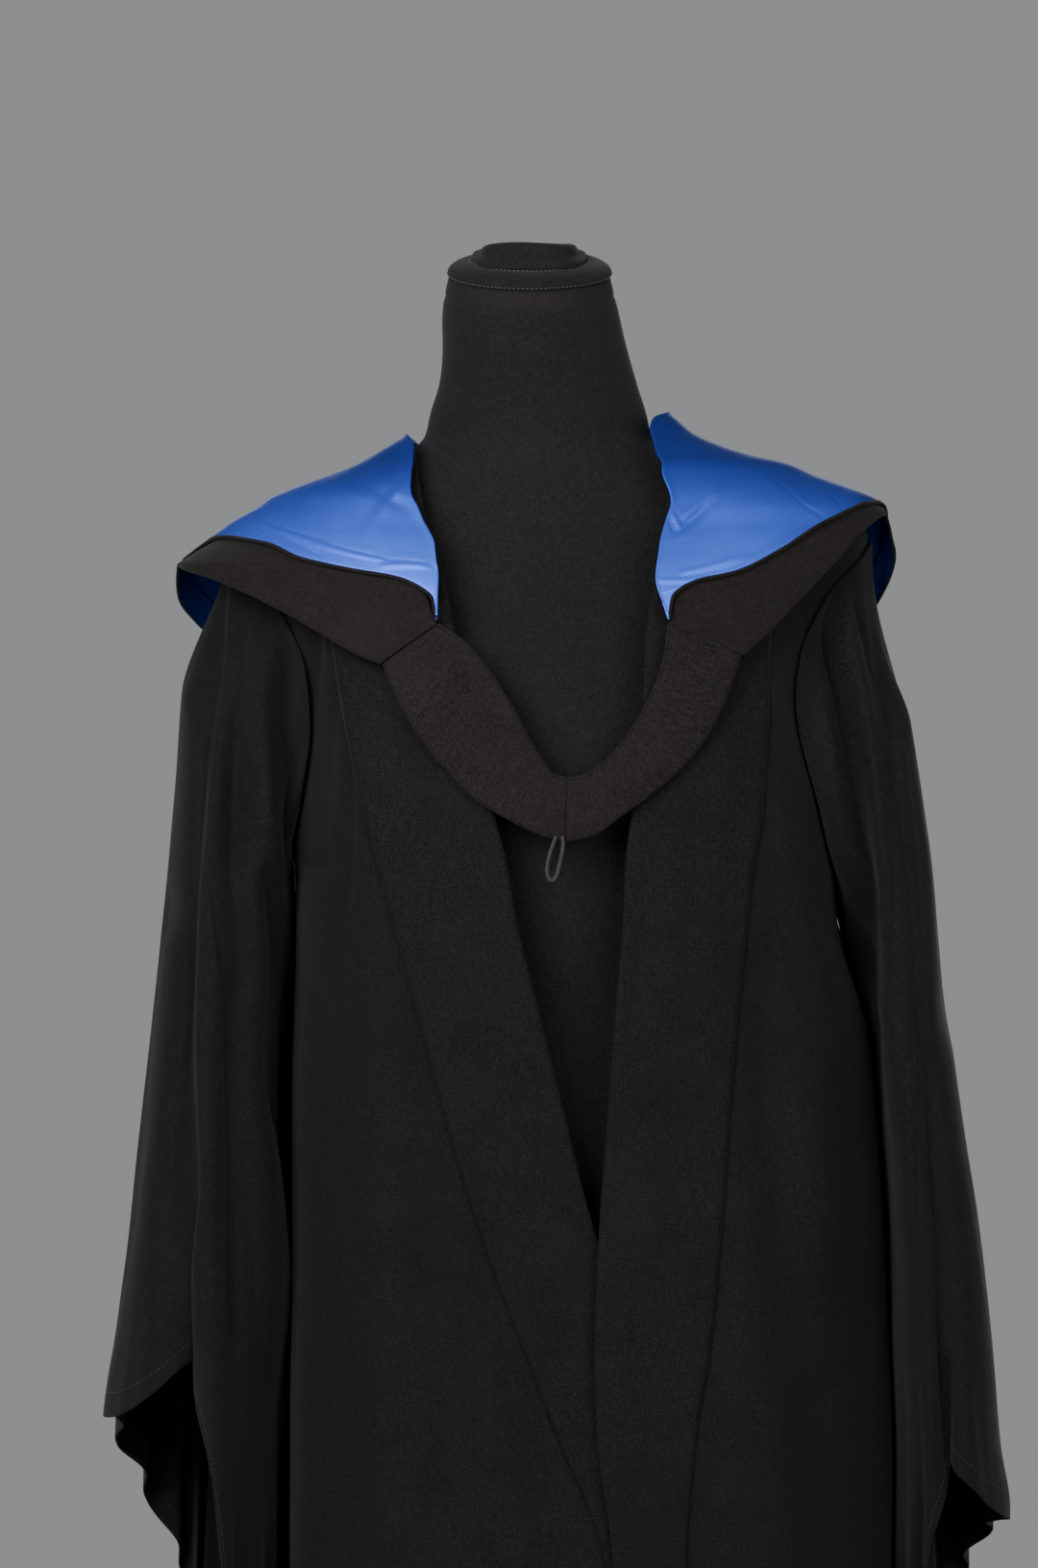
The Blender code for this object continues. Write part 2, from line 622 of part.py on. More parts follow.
def build_stand():
    def disc(radius, z, count=32):
        return ellipse(radius, radius, (0.0, 0.0, z), count)

    lathe(
        "stand_base",
        [disc(BASE_RADIUS - 0.002, 0.0), disc(BASE_RADIUS, 0.002), disc(BASE_RADIUS, BASE_THICK - 0.003)]
        + [disc(BASE_RADIUS - 0.003, BASE_THICK)],
        "metal",
        32,
    )
    foot = BASE_THICK + GAP
    lathe(
        "stand_collar",
        [disc(0.034, foot, 24), disc(0.034, foot + 0.008, 24), disc(0.020, foot + 0.014, 24), disc(0.020, foot + 0.040, 24)],
        "metal",
        24,
    )
    start = foot + 0.040 + GAP
    lathe(
        "stand_pole",
        [disc(POLE_RADIUS, start, 20), disc(POLE_RADIUS, FORM_BOTTOM - 0.020 - GAP, 20)],
        "metal",
        20,
    )
    lathe(
        "stand_socket",
        [disc(0.022, FORM_BOTTOM - 0.020, 24), disc(0.022, FORM_BOTTOM - 0.006, 24), disc(0.050, FORM_BOTTOM - GAP, 24)],
        "metal",
        24,
    )


BODY_HEIGHTS = [0.28, 0.37, 0.47, 0.57, 0.67, 0.76, 0.84, 0.91, 0.98, 1.04, 1.10, 1.155, UNDERARM_Z]
BODY_HEIGHTS += [1.222, 1.250, 1.285, 1.320, 1.355, 1.383, 1.403, SHOULDER_Z]
SHOULDER_HEIGHTS = [1.4205, 1.4290, 1.4370, 1.4440, 1.4505, 1.4580, 1.4670, 1.4775]


def armhole_angle(z, more=0.0):
    """Angle from the centre front where the front's armhole edge runs."""
    middle = (UNDERARM_Z + SHOULDER_Z) / 2
    half = (SHOULDER_Z - UNDERARM_Z) / 2
    part = np.clip((z - middle) / half, -1, 1)
    return 90.0 - (ARMHOLE_ANGLE + more) * np.sqrt(1 - part**2)


def overlap_out(x, z):
    """The right front lies over the left one: how far it stands off, by place."""
    return OVERLAP_OUT * ease((0.185 - x) / 0.04) * ease((1.06 - z) / 0.10)


def front_grids(side, out, extra):
    """Rows of points of a front panel, from the band's lap to the side seam."""
    rows = FACING_RIGHT_ROWS if side > 0 else FACING_LEFT_ROWS
    band = columns(BAND_COLUMNS, rows)
    grid = []
    for z in BODY_HEIGHTS + SHOULDER_HEIGHTS:
        edge = float(curve(band["z"], band["outer"], z))
        lap = edge - side * min(FACING_LAP, 0.5 * abs(edge - float(curve(band["z"], band["inner"], z))))
        first = angle_at(GOWN, np.array([lap, edge]), z)
        final = side * (float(armhole_angle(z)) if z < SHOULDER_Z else 90.0)
        rest = np.linspace(first[1], final, extra + 1)[1:]
        angles = np.concatenate([first, rest])
        level = np.full(len(angles), z)
        base = section_point(GOWN, angles, level)
        lift = overlap_out(base[:, 0], level) if side > 0 else 0 * level
        line = gown_point(angles, level, out + lift)
        if z <= UNDERARM_Z or z >= SHOULDER_Z:
            line[-1, 1] -= GAP / 2
        grid.append(line)
    return np.array(grid)


def facing_grids(side, out, across=4):
    """Rows of points of a front band, its outer part on the panel's own points."""
    rows = FACING_RIGHT_ROWS if side > 0 else FACING_LEFT_ROWS
    band = columns(BAND_COLUMNS, rows)
    grid = []
    for z in BODY_HEIGHTS + SHOULDER_HEIGHTS:
        edge = float(curve(band["z"], band["outer"], z))
        inner = float(curve(band["z"], band["inner"], z))
        lap = edge - side * min(FACING_LAP, 0.5 * abs(edge - inner))
        xs = np.concatenate([np.linspace(inner, lap, across), [edge]])
        angles = angle_at(GOWN, xs, z)
        level = np.full(len(angles), z)
        lift = overlap_out(xs, level) if side > 0 else 0 * level
        line = gown_point(angles, level, out + lift)
        if z >= SHOULDER_Z:
            line[:, 1] = np.minimum(line[:, 1], -GAP)
        grid.append(line)
    return np.array(grid)


def back_grid(out):
    """Rows of points of the back, three to a pleat."""
    grid = []
    for z in BODY_HEIGHTS + SHOULDER_HEIGHTS:
        side = float(armhole_angle(z)) if z < SHOULDER_Z else 90.0
        third = float(pleat_spread(z)) * 2 / BACK_PLEATS / 3
        xs = [float(pleat_x(k, z)) + third * j for k in range(BACK_PLEATS) for j in (-1, 0, 1)]
        inside = 180.0 - angle_at(GOWN, np.array(xs[::-1]) / float(back_flare(1.0, z)), z)
        first, last = 180.0 - side, 180.0 + side
        ends = [first, (first + inside[0]) / 2], [(last + inside[-1]) / 2, last]
        angles = np.concatenate([ends[0], inside, ends[1]])
        level = np.full(len(angles), z)
        line = gown_point(angles, level, out + 0 * level)
        if z <= UNDERARM_Z or z >= SHOULDER_Z:
            line[[0, -1], 1] += GAP / 2
        grid.append(line)
    return np.array(grid)


def build_body():
    for side, word in ((-1, "left"), (1, "right")):
        inner = front_grids(side, 0.0, 10)
        outer = front_grids(side, CLOTH, 10)
        add_object(f"gown_front_{word}", *skin(inner, outer), "gown")
        inner = facing_grids(side, CLOTH + GAP)
        outer = facing_grids(side, 2 * CLOTH + GAP)
        add_object(f"gown_band_{word}", *skin(inner, outer), "gown")
    add_object("gown_back", *skin(back_grid(0.0), back_grid(CLOTH)), "gown")


class Sleeve:
    """A flattened hanging tube, gathered round the armhole."""

    def __init__(self, side):
        self.side = side
        self.sizes = columns(SLEEVE_COLUMNS, SLEEVE_RIGHT_ROWS if side > 0 else SLEEVE_LEFT_ROWS)
        self.grooves = columns(GROOVE_COLUMNS, GROOVES_RIGHT if side > 0 else GROOVES_LEFT)
        hems = columns(HEM_COLUMNS, HEM_ROWS)
        self.hem_angle = hems["angle"]
        self.hem_z = hems["right" if side > 0 else "left"]
        self.count = len(self.grooves["top"])

    def between(self, key, u):
        """A groove's value at fold number u, the same again after the last fold."""
        values = self.grooves[key]
        turn = 360.0 if key in ("top", "hem") else 0.0
        k = np.floor(u).astype(int)
        part = u - k
        low = values[k % self.count] + turn * (k // self.count)
        high = values[(k + 1) % self.count] + turn * ((k + 1) // self.count)
        return low + (high - low) * part

    def point(self, u, s):
        low_part = ease(s * 1.05)
        angle = self.between("top", u) * (1 - low_part) + self.between("hem", u) * low_part
        turn = np.mod(angle, 360.0)
        hem = curve(self.hem_angle, self.hem_z, turn)
        middle = (UNDERARM_Z + SHOULDER_Z) / 2
        half = (SHOULDER_Z - UNDERARM_Z) / 2 + 0.004
        a = np.radians(angle)
        top = middle + half * np.cos(a)
        z = top + (hem - top) * s
        t = self.sizes
        outer, inner = curve(t["z"], t["outer"], z), curve(t["z"], t["inner"], z)
        front, back = curve(t["z"], t["front"], z), curve(t["z"], t["back"], z)
        n = 2.0 + 0.5 * ease((1.36 - z) / 0.2)
        c, d = np.cos(a), np.sin(a)
        reach = (np.abs(c) ** n + np.abs(d) ** n) ** (-1 / n)
        deep = np.where(d > 0, front, back)
        tube = np.stack([(outer + inner) / 2 + (outer - inner) / 2 * c * reach, -deep * d * reach, z], axis=-1)
        level = np.clip(s, 0, 1)
        depth = np.where(
            level < 0.5,
            self.between("deep_top", u) * (1 - 2 * level) + self.between("deep_middle", u) * 2 * level,
            self.between("deep_middle", u) * (2 - 2 * level) + self.between("deep_hem", u) * (2 * level - 1),
        )
        groove = np.cos(np.pi * (u - np.round(u))) ** 3
        pull = depth * (groove - 0.25)
        slope = np.stack([c * reach, -d * reach * 0.6, 0 * c], axis=-1)
        slope = slope / np.linalg.norm(slope, axis=-1, keepdims=True)
        tube = tube - slope * pull[..., None]
        half_body = curve(GOWN["z"], GOWN["right" if self.side > 0 else "left"], z)
        within = ease((0.3 - c * reach) / 0.9)
        tube[..., 0] += half_body * (back_flare(tube[..., 1], z) - 1) * within
        tube[..., 0] *= self.side
        body_angle = self.side * (90.0 - (ARMHOLE_ANGLE + 3.5) * np.sin(a))
        gather = 0.0008 * (0.5 - groove) + 0.0007 * (1 - c)
        edge = gown_point(body_angle, top, CLOTH * 1.5 + GAP + 0.0009 + gather)
        edge[..., 2] = z
        w = ease(s / 0.17)[..., None]
        return edge * (1 - w) + tube * w

    def grids(self):
        steps = np.array([0.0, 0.015, 0.045, 0.09, 0.15, 0.24, 0.36, 0.51, 0.67, 0.84, 1.0])
        count = self.count * SAMPLES_PER_GROOVE
        us = np.arange(count) / SAMPLES_PER_GROOVE
        u, s = np.meshgrid(us, steps)
        normal = outward(self.point, u, s, 0.06, 0.004)
        middle = self.point(u, s)
        axis = middle.mean(axis=1, keepdims=True)
        if ((middle - axis) * normal).sum() < 0:
            normal = -normal
        return middle - normal * CLOTH / 2, middle + normal * CLOTH / 2


def build_sleeves():
    for side, word in ((-1, "left"), (1, "right")):
        inner, outer = Sleeve(side).grids()
        add_object(f"gown_sleeve_{word}", *skin(inner, outer, True), "gown")


def edge_grid(side, rows, out, along, across):
    """Points of a hood piece between its low and high edge."""
    t = columns(EDGE_COLUMNS, rows)
    at = np.arange(len(rows), dtype=float)
    where = np.linspace(0, len(rows) - 1, along + 1)
    grid = []
    for u in np.linspace(0, 1, across + 1) ** 1.3:
        angle = curve(at, t["low_angle"], where) * (1 - u) + curve(at, t["high_angle"], where) * u
        z = curve(at, t["low_z"], where) * (1 - u) + curve(at, t["high_z"], where) * u
        line = hood_point(side * angle, z, out + 0 * z)
        line[-1, 0] = side * GAP / 2
        grid.append(line)
    return np.array(grid)


def neckband_grid(rows, out, along=7, across=4):
    t = columns(NECKBAND_COLUMNS, rows)
    at = np.arange(len(rows), dtype=float)
    where = np.linspace(0, len(rows) - 1, along + 1)
    grid = []
    for u in np.linspace(0, 1, across + 1):
        x = curve(at, t["outer_x"], where) * (1 - u) + curve(at, t["inner_x"], where) * u
        z = curve(at, t["outer_z"], where) * (1 - u) + curve(at, t["inner_z"], where) * u
        grid.append(hood_point(angle_at(HOOD, x, z), z, out + 0 * z))
    return np.array(grid)


def tube_along(name, path, radius, material, count=6):
    path = np.array(path)
    rings = []
    for i, p in enumerate(path):
        way = path[min(i + 1, len(path) - 1)] - path[max(i - 1, 0)]
        way = way / np.linalg.norm(way)
        side = np.cross(way, (0.0, 1.0, 0.0))
        side = side / np.linalg.norm(side)
        other = np.cross(way, side)
        a = np.arange(count) * 2 * np.pi / count
        rings.append(p + radius * (np.cos(a)[:, None] * side + np.sin(a)[:, None] * other))
    return lathe(name, rings, material, count)


def build_hood():
    under = -2 * CLOTH - HOOD_GAP
    for side, word, lining, shell, neck in (
        (-1, "left", LINING_LEFT_ROWS, SHELL_LEFT_ROWS, NECKBAND_LEFT_ROWS),
        (1, "right", LINING_RIGHT_ROWS, SHELL_RIGHT_ROWS, NECKBAND_RIGHT_ROWS),
    ):
        inner, outer = edge_grid(side, lining, -CLOTH, 24, 6), edge_grid(side, lining, 0.0, 24, 6)
        add_object(f"hood_lining_{word}", *skin(inner, outer), "satin")
        inner, outer = edge_grid(side, shell, under, 24, 4), edge_grid(side, shell, under + CLOTH, 24, 4)
        add_object(f"hood_shell_{word}", *skin(inner, outer), "hood")
        inner, outer = neckband_grid(neck, under), neckband_grid(neck, under + CLOTH)
        shift = side * GAP / 2
        centre = -1 if side < 0 else 0
        inner[:, centre, 0] += shift
        outer[:, centre, 0] += shift
        add_object(f"hood_neckband_{word}", *skin(inner, outer), "hood")
    spots = np.array(LOOP_PATH)
    lying = under + CLOTH + GAP + LOOP_RADIUS + 0 * spots[:, 1]
    path = hood_point(angle_at(HOOD, spots[:, 0], spots[:, 1]), spots[:, 1], lying)
    tube_along("hood_loop", path, LOOP_RADIUS, "hood")


clear_scene()
build_form()
build_stand()
build_body()
build_sleeves()
build_hood()
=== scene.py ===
"""The finished look of a graduation gown and its hood on a dress form.

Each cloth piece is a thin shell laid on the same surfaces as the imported
solids, with its own creases, hems and stitches. Metres, +Z up, front to -Y.
"""

import math

import bmesh
import bpy
import numpy as np
from mathutils import Matrix, Vector


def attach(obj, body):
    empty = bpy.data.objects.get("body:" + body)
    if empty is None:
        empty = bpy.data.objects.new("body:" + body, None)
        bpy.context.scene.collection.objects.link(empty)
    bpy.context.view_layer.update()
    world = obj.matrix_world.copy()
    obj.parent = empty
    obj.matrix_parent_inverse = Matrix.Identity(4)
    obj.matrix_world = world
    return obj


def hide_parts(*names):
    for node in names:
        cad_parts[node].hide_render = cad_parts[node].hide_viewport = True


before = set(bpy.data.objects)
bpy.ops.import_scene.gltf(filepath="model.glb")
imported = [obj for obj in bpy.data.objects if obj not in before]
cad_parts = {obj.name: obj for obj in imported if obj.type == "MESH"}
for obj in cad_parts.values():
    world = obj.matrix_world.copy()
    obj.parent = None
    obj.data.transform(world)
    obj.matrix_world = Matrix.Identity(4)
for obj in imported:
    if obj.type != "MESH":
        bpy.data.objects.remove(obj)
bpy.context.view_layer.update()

CLOTH = 0.0020
GAP = 0.0003
HOOD_GAP = 0.0014

HEM_Z = 0.28
UNDERARM_Z = 1.205
SHOULDER_Z = 1.412
ARMHOLE_ANGLE = 30.0

FACING_LAP = 0.014
OVERLAP_OUT = 0.0075

POLE_RADIUS = 0.0125
BASE_RADIUS = 0.158
BASE_THICK = 0.010
FORM_BOTTOM = 0.845

# Surface of the gown's body: half widths to each side, depth to front and back.
SECTION_COLUMNS = ("z", "left", "right", "front", "back", "square")
GOWN_ROWS = (
    (0.280, 0.235, 0.285, 0.190, 0.205, 2.40),
    (0.450, 0.200, 0.254, 0.172, 0.185, 2.50),
    (0.600, 0.172, 0.230, 0.156, 0.165, 2.60),
    (0.720, 0.162, 0.223, 0.148, 0.155, 2.70),
    (0.850, 0.160, 0.222, 0.141, 0.143, 2.80),
    (0.950, 0.159, 0.218, 0.136, 0.132, 2.80),
    (1.050, 0.159, 0.210, 0.133, 0.124, 2.80),
    (1.150, 0.160, 0.200, 0.134, 0.119, 2.70),
    (1.250, 0.163, 0.190, 0.134, 0.115, 2.60),
    (1.300, 0.166, 0.187, 0.128, 0.112, 2.50),
    (1.340, 0.172, 0.191, 0.118, 0.108, 2.40),
    (1.380, 0.188, 0.202, 0.103, 0.101, 2.30),
    (1.4075, 0.206, 0.218, 0.088, 0.093, 2.20),
    (1.4195, 0.204, 0.2205, 0.083, 0.089, 2.15),
    (1.4295, 0.1885, 0.2155, 0.078, 0.086, 2.10),
    (1.4405, 0.1690, 0.1940, 0.074, 0.083, 2.10),
    (1.4505, 0.1420, 0.1740, 0.071, 0.080, 2.10),
    (1.4585, 0.1220, 0.1420, 0.069, 0.078, 2.05),
    (1.4705, 0.1000, 0.1080, 0.066, 0.074, 2.00),
    (1.4880, 0.0880, 0.0910, 0.063, 0.070, 2.00),
)

# The back is cut wider than the front below the underarm, behind the sleeves.
BACK_FLARE = 0.12
FLARE_TOP = 1.18
FLARE_DEPTH = 0.045

# Outer surface of the hood on the shoulders and over the sleeve heads.
HOOD_ROWS = (
    (0.780, 0.185, 0.215, 0.160, 0.184, 2.60),
    (0.900, 0.185, 0.215, 0.158, 0.172, 2.60),
    (1.050, 0.190, 0.215, 0.154, 0.160, 2.60),
    (1.200, 0.215, 0.225, 0.152, 0.151, 2.40),
    (1.300, 0.240, 0.238, 0.144, 0.145, 2.20),
    (1.340, 0.243, 0.242, 0.135, 0.140, 2.15),
    (1.380, 0.249, 0.246, 0.122, 0.127, 2.10),
    (1.402, 0.247, 0.247, 0.110, 0.111, 2.10),
    (1.410, 0.236, 0.246, 0.105, 0.108, 2.10),
    (1.4185, 0.2217, 0.2435, 0.100, 0.106, 2.10),
    (1.4296, 0.2060, 0.2405, 0.093, 0.103, 2.10),
    (1.4400, 0.1885, 0.2360, 0.089, 0.100, 2.10),
    (1.4461, 0.1800, 0.2260, 0.087, 0.098, 2.10),
    (1.4510, 0.1690, 0.2139, 0.0855, 0.096, 2.10),
    (1.4608, 0.1417, 0.1860, 0.083, 0.093, 2.10),
    (1.4686, 0.1220, 0.1680, 0.081, 0.091, 2.05),
    (1.4750, 0.1105, 0.1424, 0.079, 0.089, 2.00),
    (1.4810, 0.1003, 0.1235, 0.077, 0.087, 2.00),
    (1.4900, 0.0870, 0.1040, 0.074, 0.084, 2.00),
    (1.4985, 0.0825, 0.0943, 0.071, 0.081, 2.00),
    (1.5050, 0.0800, 0.0860, 0.069, 0.079, 2.00),
)

# The form: half width and half depth of each ring, and where its centre lies.
FORM_COLUMNS = ("z", "wide", "deep", "centre_y")
FORM_ROWS = (
    (0.845, 0.118, 0.080, 0.006),
    (0.848, 0.130, 0.090, 0.006),
    (0.862, 0.143, 0.103, 0.006),
    (0.900, 0.148, 0.110, 0.006),
    (0.980, 0.147, 0.110, 0.004),
    (1.060, 0.128, 0.098, 0.000),
    (1.110, 0.120, 0.092, -0.002),
    (1.180, 0.130, 0.098, -0.006),
    (1.260, 0.146, 0.104, -0.008),
    (1.330, 0.158, 0.097, -0.002),
    (1.370, 0.170, 0.085, 0.002),
    (1.4045, 0.184, 0.075, 0.003),
    (1.4195, 0.184, 0.069, 0.003),
    (1.4305, 0.176, 0.065, 0.003),
    (1.4415, 0.160, 0.062, 0.003),
    (1.4515, 0.137, 0.060, 0.002),
    (1.4625, 0.110, 0.059, 0.001),
    (1.4750, 0.089, 0.058, 0.000),
    (1.487, 0.0765, 0.057, -0.001),
    (1.503, 0.0725, 0.056, -0.003),
    (1.522, 0.0665, 0.055, -0.006),
    (1.545, 0.0620, 0.054, -0.010),
    (1.570, 0.0590, 0.053, -0.013),
    (1.594, 0.0535, 0.049, -0.016),
)
NECK_TOP = 1.594
NECK_SHIFT = 0.006
CAP_TILT = 15.0

# Front bands: inner and outer edge as seen from the front.
BAND_COLUMNS = ("z", "inner", "outer")
FACING_LEFT_ROWS = (
    (0.280, 0.1450, 0.0600),
    (0.450, 0.1430, 0.0580),
    (0.600, 0.1370, 0.0520),
    (0.750, 0.1290, 0.0430),
    (0.844, 0.1050, 0.0089),
    (0.893, 0.0720, -0.0099),
    (0.962, 0.0383, -0.0355),
    (1.050, 0.0151, -0.0620),
    (1.113, -0.0005, -0.0780),
    (1.175, -0.0155, -0.0945),
    (1.206, -0.0205, -0.1020),
    (1.243, -0.0298, -0.1110),
    (1.316, -0.0470, -0.1270),
    (1.362, -0.0556, -0.1365),
    (1.392, -0.0621, -0.1440),
    (1.412, -0.0692, -0.1500),
    (1.440, -0.0760, -0.1480),
    (1.480, -0.0820, -0.0870),
)
FACING_RIGHT_ROWS = (
    (0.280, 0.0480, 0.1330),
    (0.450, 0.0480, 0.1310),
    (0.600, 0.0480, 0.1200),
    (0.749, 0.0475, 0.0936),
    (0.843, 0.0371, 0.1011),
    (0.893, 0.0358, 0.1093),
    (0.962, 0.0383, 0.1157),
    (1.050, 0.0450, 0.1239),
    (1.113, 0.0495, 0.1290),
    (1.175, 0.0544, 0.1350),
    (1.206, 0.0556, 0.1375),
    (1.243, 0.0599, 0.1440),
    (1.316, 0.0670, 0.1485),
    (1.362, 0.0700, 0.1515),
    (1.392, 0.0770, 0.1560),
    (1.412, 0.0820, 0.1600),
    (1.440, 0.0840, 0.1600),
    (1.480, 0.0850, 0.0915),
)

# Soft folds of the body: across at top and foot, heights, half width and rise.
# Columns: side, x_top, z_top, x_foot, z_foot, wide, rise.
FOLD_ROWS = (
    ("front", -0.142, 1.300, -0.138, 0.300, 0.020, 0.008),
    ("front", -0.118, 1.370, -0.112, 1.150, 0.014, 0.004),
    ("front", -0.090, 1.150, -0.085, 0.280, 0.026, 0.007),
    ("front", -0.030, 0.820, -0.040, 0.240, 0.026, 0.009),
    ("front", 0.150, 1.330, 0.176, 1.210, 0.013, 0.004),
    ("front", 0.146, 1.270, 0.178, 1.000, 0.017, 0.006),
    ("front", 0.180, 1.330, 0.200, 0.300, 0.018, 0.006),
    ("front", 0.150, 1.010, 0.165, 0.240, 0.024, 0.008),
)
BACK_PLEATS = 8
BACK_PLEAT_TOP = 1.36
BACK_PLEAT_RISE = 0.015

# Sleeve sections: outer and inner side, front and back of the flattened tube.
SLEEVE_COLUMNS = ("z", "outer", "inner", "front", "back")
SLEEVE_LEFT_ROWS = (
    (0.560, 0.2950, 0.1860, 0.100, 0.135),
    (0.720, 0.2960, 0.1760, 0.112, 0.150),
    (0.820, 0.2930, 0.1740, 0.116, 0.150),
    (0.890, 0.2830, 0.1740, 0.112, 0.142),
    (0.958, 0.2743, 0.1740, 0.107, 0.135),
    (1.062, 0.2627, 0.1740, 0.100, 0.125),
    (1.135, 0.2546, 0.1750, 0.096, 0.118),
    (1.199, 0.2485, 0.1750, 0.092, 0.110),
    (1.257, 0.2431, 0.1740, 0.088, 0.094),
    (1.306, 0.2397, 0.1700, 0.083, 0.082),
    (1.340, 0.2356, 0.1680, 0.077, 0.070),
    (1.362, 0.2330, 0.1700, 0.070, 0.060),
    (1.392, 0.2251, 0.1750, 0.055, 0.048),
    (1.415, 0.2080, 0.1800, 0.040, 0.036),
)
SLEEVE_RIGHT_ROWS = (
    (0.560, 0.3190, 0.2500, 0.100, 0.135),
    (0.720, 0.3160, 0.2405, 0.112, 0.150),
    (0.766, 0.3166, 0.2395, 0.114, 0.150),
    (0.811, 0.3098, 0.2395, 0.114, 0.150),
    (0.878, 0.3035, 0.2375, 0.112, 0.145),
    (0.956, 0.2946, 0.2340, 0.107, 0.135),
    (1.022, 0.2845, 0.2290, 0.102, 0.128),
    (1.096, 0.2737, 0.2220, 0.097, 0.122),
    (1.179, 0.2616, 0.2180, 0.092, 0.108),
    (1.263, 0.2496, 0.2095, 0.086, 0.092),
    (1.323, 0.2415, 0.2000, 0.080, 0.076),
    (1.381, 0.2328, 0.1960, 0.064, 0.056),
    (1.395, 0.2300, 0.1960, 0.055, 0.048),
    (1.415, 0.2190, 0.1980, 0.042, 0.038),
)
# Height of the sleeve's hem round the tube: 0 outer, 90 front, 180 inner.
HEM_COLUMNS = ("angle", "left", "right")
HEM_ROWS = (
    (0.0, 0.824, 0.750),
    (30.0, 0.832, 0.764),
    (60.0, 0.850, 0.783),
    (80.0, 0.868, 0.797),
    (93.0, 0.877, 0.805),
    (104.0, 0.830, 0.811),
    (114.0, 0.735, 0.770),
    (128.0, 0.660, 0.690),
    (150.0, 0.610, 0.625),
    (180.0, 0.585, 0.595),
    (215.0, 0.575, 0.575),
    (245.0, 0.600, 0.590),
    (280.0, 0.670, 0.640),
    (315.0, 0.755, 0.700),
    (340.0, 0.800, 0.735),
    (360.0, 0.824, 0.750),
)
# Grooves of a sleeve: angle at the armhole and at the hem, depths down the groove.
GROOVE_COLUMNS = ("top", "hem", "deep_top", "deep_middle", "deep_hem")
GROOVES_LEFT = (
    (22.0, 44.0, 0.004, 0.002, 0.003),
    (50.0, 97.0, 0.008, 0.012, 0.022),
    (72.0, 130.0, 0.007, 0.009, 0.009),
    (98.0, 152.0, 0.007, 0.010, 0.010),
    (130.0, 172.0, 0.008, 0.007, 0.008),
    (166.0, 194.0, 0.004, 0.006, 0.010),
    (202.0, 222.0, 0.005, 0.007, 0.012),
    (232.0, 250.0, 0.006, 0.010, 0.015),
    (262.0, 272.0, 0.007, 0.013, 0.018),
    (291.0, 294.0, 0.007, 0.013, 0.016),
    (318.0, 319.0, 0.006, 0.010, 0.013),
    (344.0, 347.0, 0.005, 0.008, 0.010),
)
GROOVES_RIGHT = (
    (18.0, 50.0, 0.004, 0.002, 0.003),
    (44.0, 108.0, 0.007, 0.009, 0.020),
    (68.0, 131.0, 0.008, 0.008, 0.007),
    (96.0, 150.0, 0.007, 0.008, 0.008),
    (128.0, 168.0, 0.008, 0.008, 0.008),
    (164.0, 188.0, 0.004, 0.006, 0.008),
    (200.0, 216.0, 0.005, 0.007, 0.010),
    (232.0, 247.0, 0.006, 0.010, 0.012),
    (262.0, 270.0, 0.007, 0.013, 0.016),
    (291.0, 293.0, 0.007, 0.013, 0.016),
    (318.0, 318.0, 0.006, 0.010, 0.013),
    (344.0, 348.0, 0.005, 0.008, 0.010),
)

# Hood pieces, both edges as angle from the centre front and height.
EDGE_COLUMNS = ("low_angle", "low_z", "high_angle", "high_z")
LINING_LEFT_ROWS = (
    (15.6, 1.3660, 15.4, 1.3700),
    (16.0, 1.3790, 15.3, 1.3960),
    (21.0, 1.3925, 17.0, 1.4130),
    (30.0, 1.3990, 22.0, 1.4320),
    (40.0, 1.4065, 30.0, 1.4520),
    (52.0, 1.4160, 42.0, 1.4680),
    (72.0, 1.4203, 62.0, 1.4840),
    (90.0, 1.4185, 90.0, 1.4890),
    (108.0, 1.3900, 112.0, 1.4860),
    (125.0, 1.3400, 130.0, 1.4800),
    (142.0, 1.2500, 146.0, 1.4740),
    (160.0, 1.1000, 163.0, 1.4700),
    (172.0, 1.0000, 173.0, 1.4690),
    (180.0, 0.9600, 180.0, 1.4690),
)
LINING_RIGHT_ROWS = (
    (20.0, 1.3660, 19.6, 1.3700),
    (20.5, 1.3800, 17.8, 1.3930),
    (24.0, 1.3908, 18.5, 1.4120),
    (31.0, 1.3970, 21.0, 1.4380),
    (40.0, 1.4120, 27.0, 1.4650),
    (52.0, 1.4310, 40.0, 1.4830),
    (69.0, 1.4427, 58.0, 1.5000),
    (90.0, 1.4440, 90.0, 1.5035),
    (108.0, 1.4100, 112.0, 1.4980),
    (125.0, 1.3500, 130.0, 1.4880),
    (142.0, 1.2550, 146.0, 1.4780),
    (160.0, 1.1000, 163.0, 1.4710),
    (172.0, 1.0000, 173.0, 1.4690),
    (180.0, 0.9600, 180.0, 1.4690),
)
SHELL_LEFT_ROWS = (
    (25.0, 1.3380, 15.6, 1.3640),
    (29.0, 1.3440, 18.0, 1.3880),
    (41.0, 1.3693, 28.0, 1.4060),
    (51.0, 1.3842, 38.0, 1.4150),
    (62.0, 1.3935, 50.0, 1.4240),
    (76.0, 1.3985, 68.0, 1.4270),
    (87.0, 1.4010, 84.0, 1.4240),
    (95.0, 1.3780, 98.0, 1.4070),
    (107.0, 1.3600, 112.0, 1.3815),
    (120.0, 1.3350, 126.0, 1.3480),
    (135.0, 1.2200, 141.0, 1.2640),
    (152.0, 1.0000, 158.0, 1.1300),
    (168.0, 0.8600, 170.0, 1.0250),
    (180.0, 0.8200, 180.0, 0.9750),
)
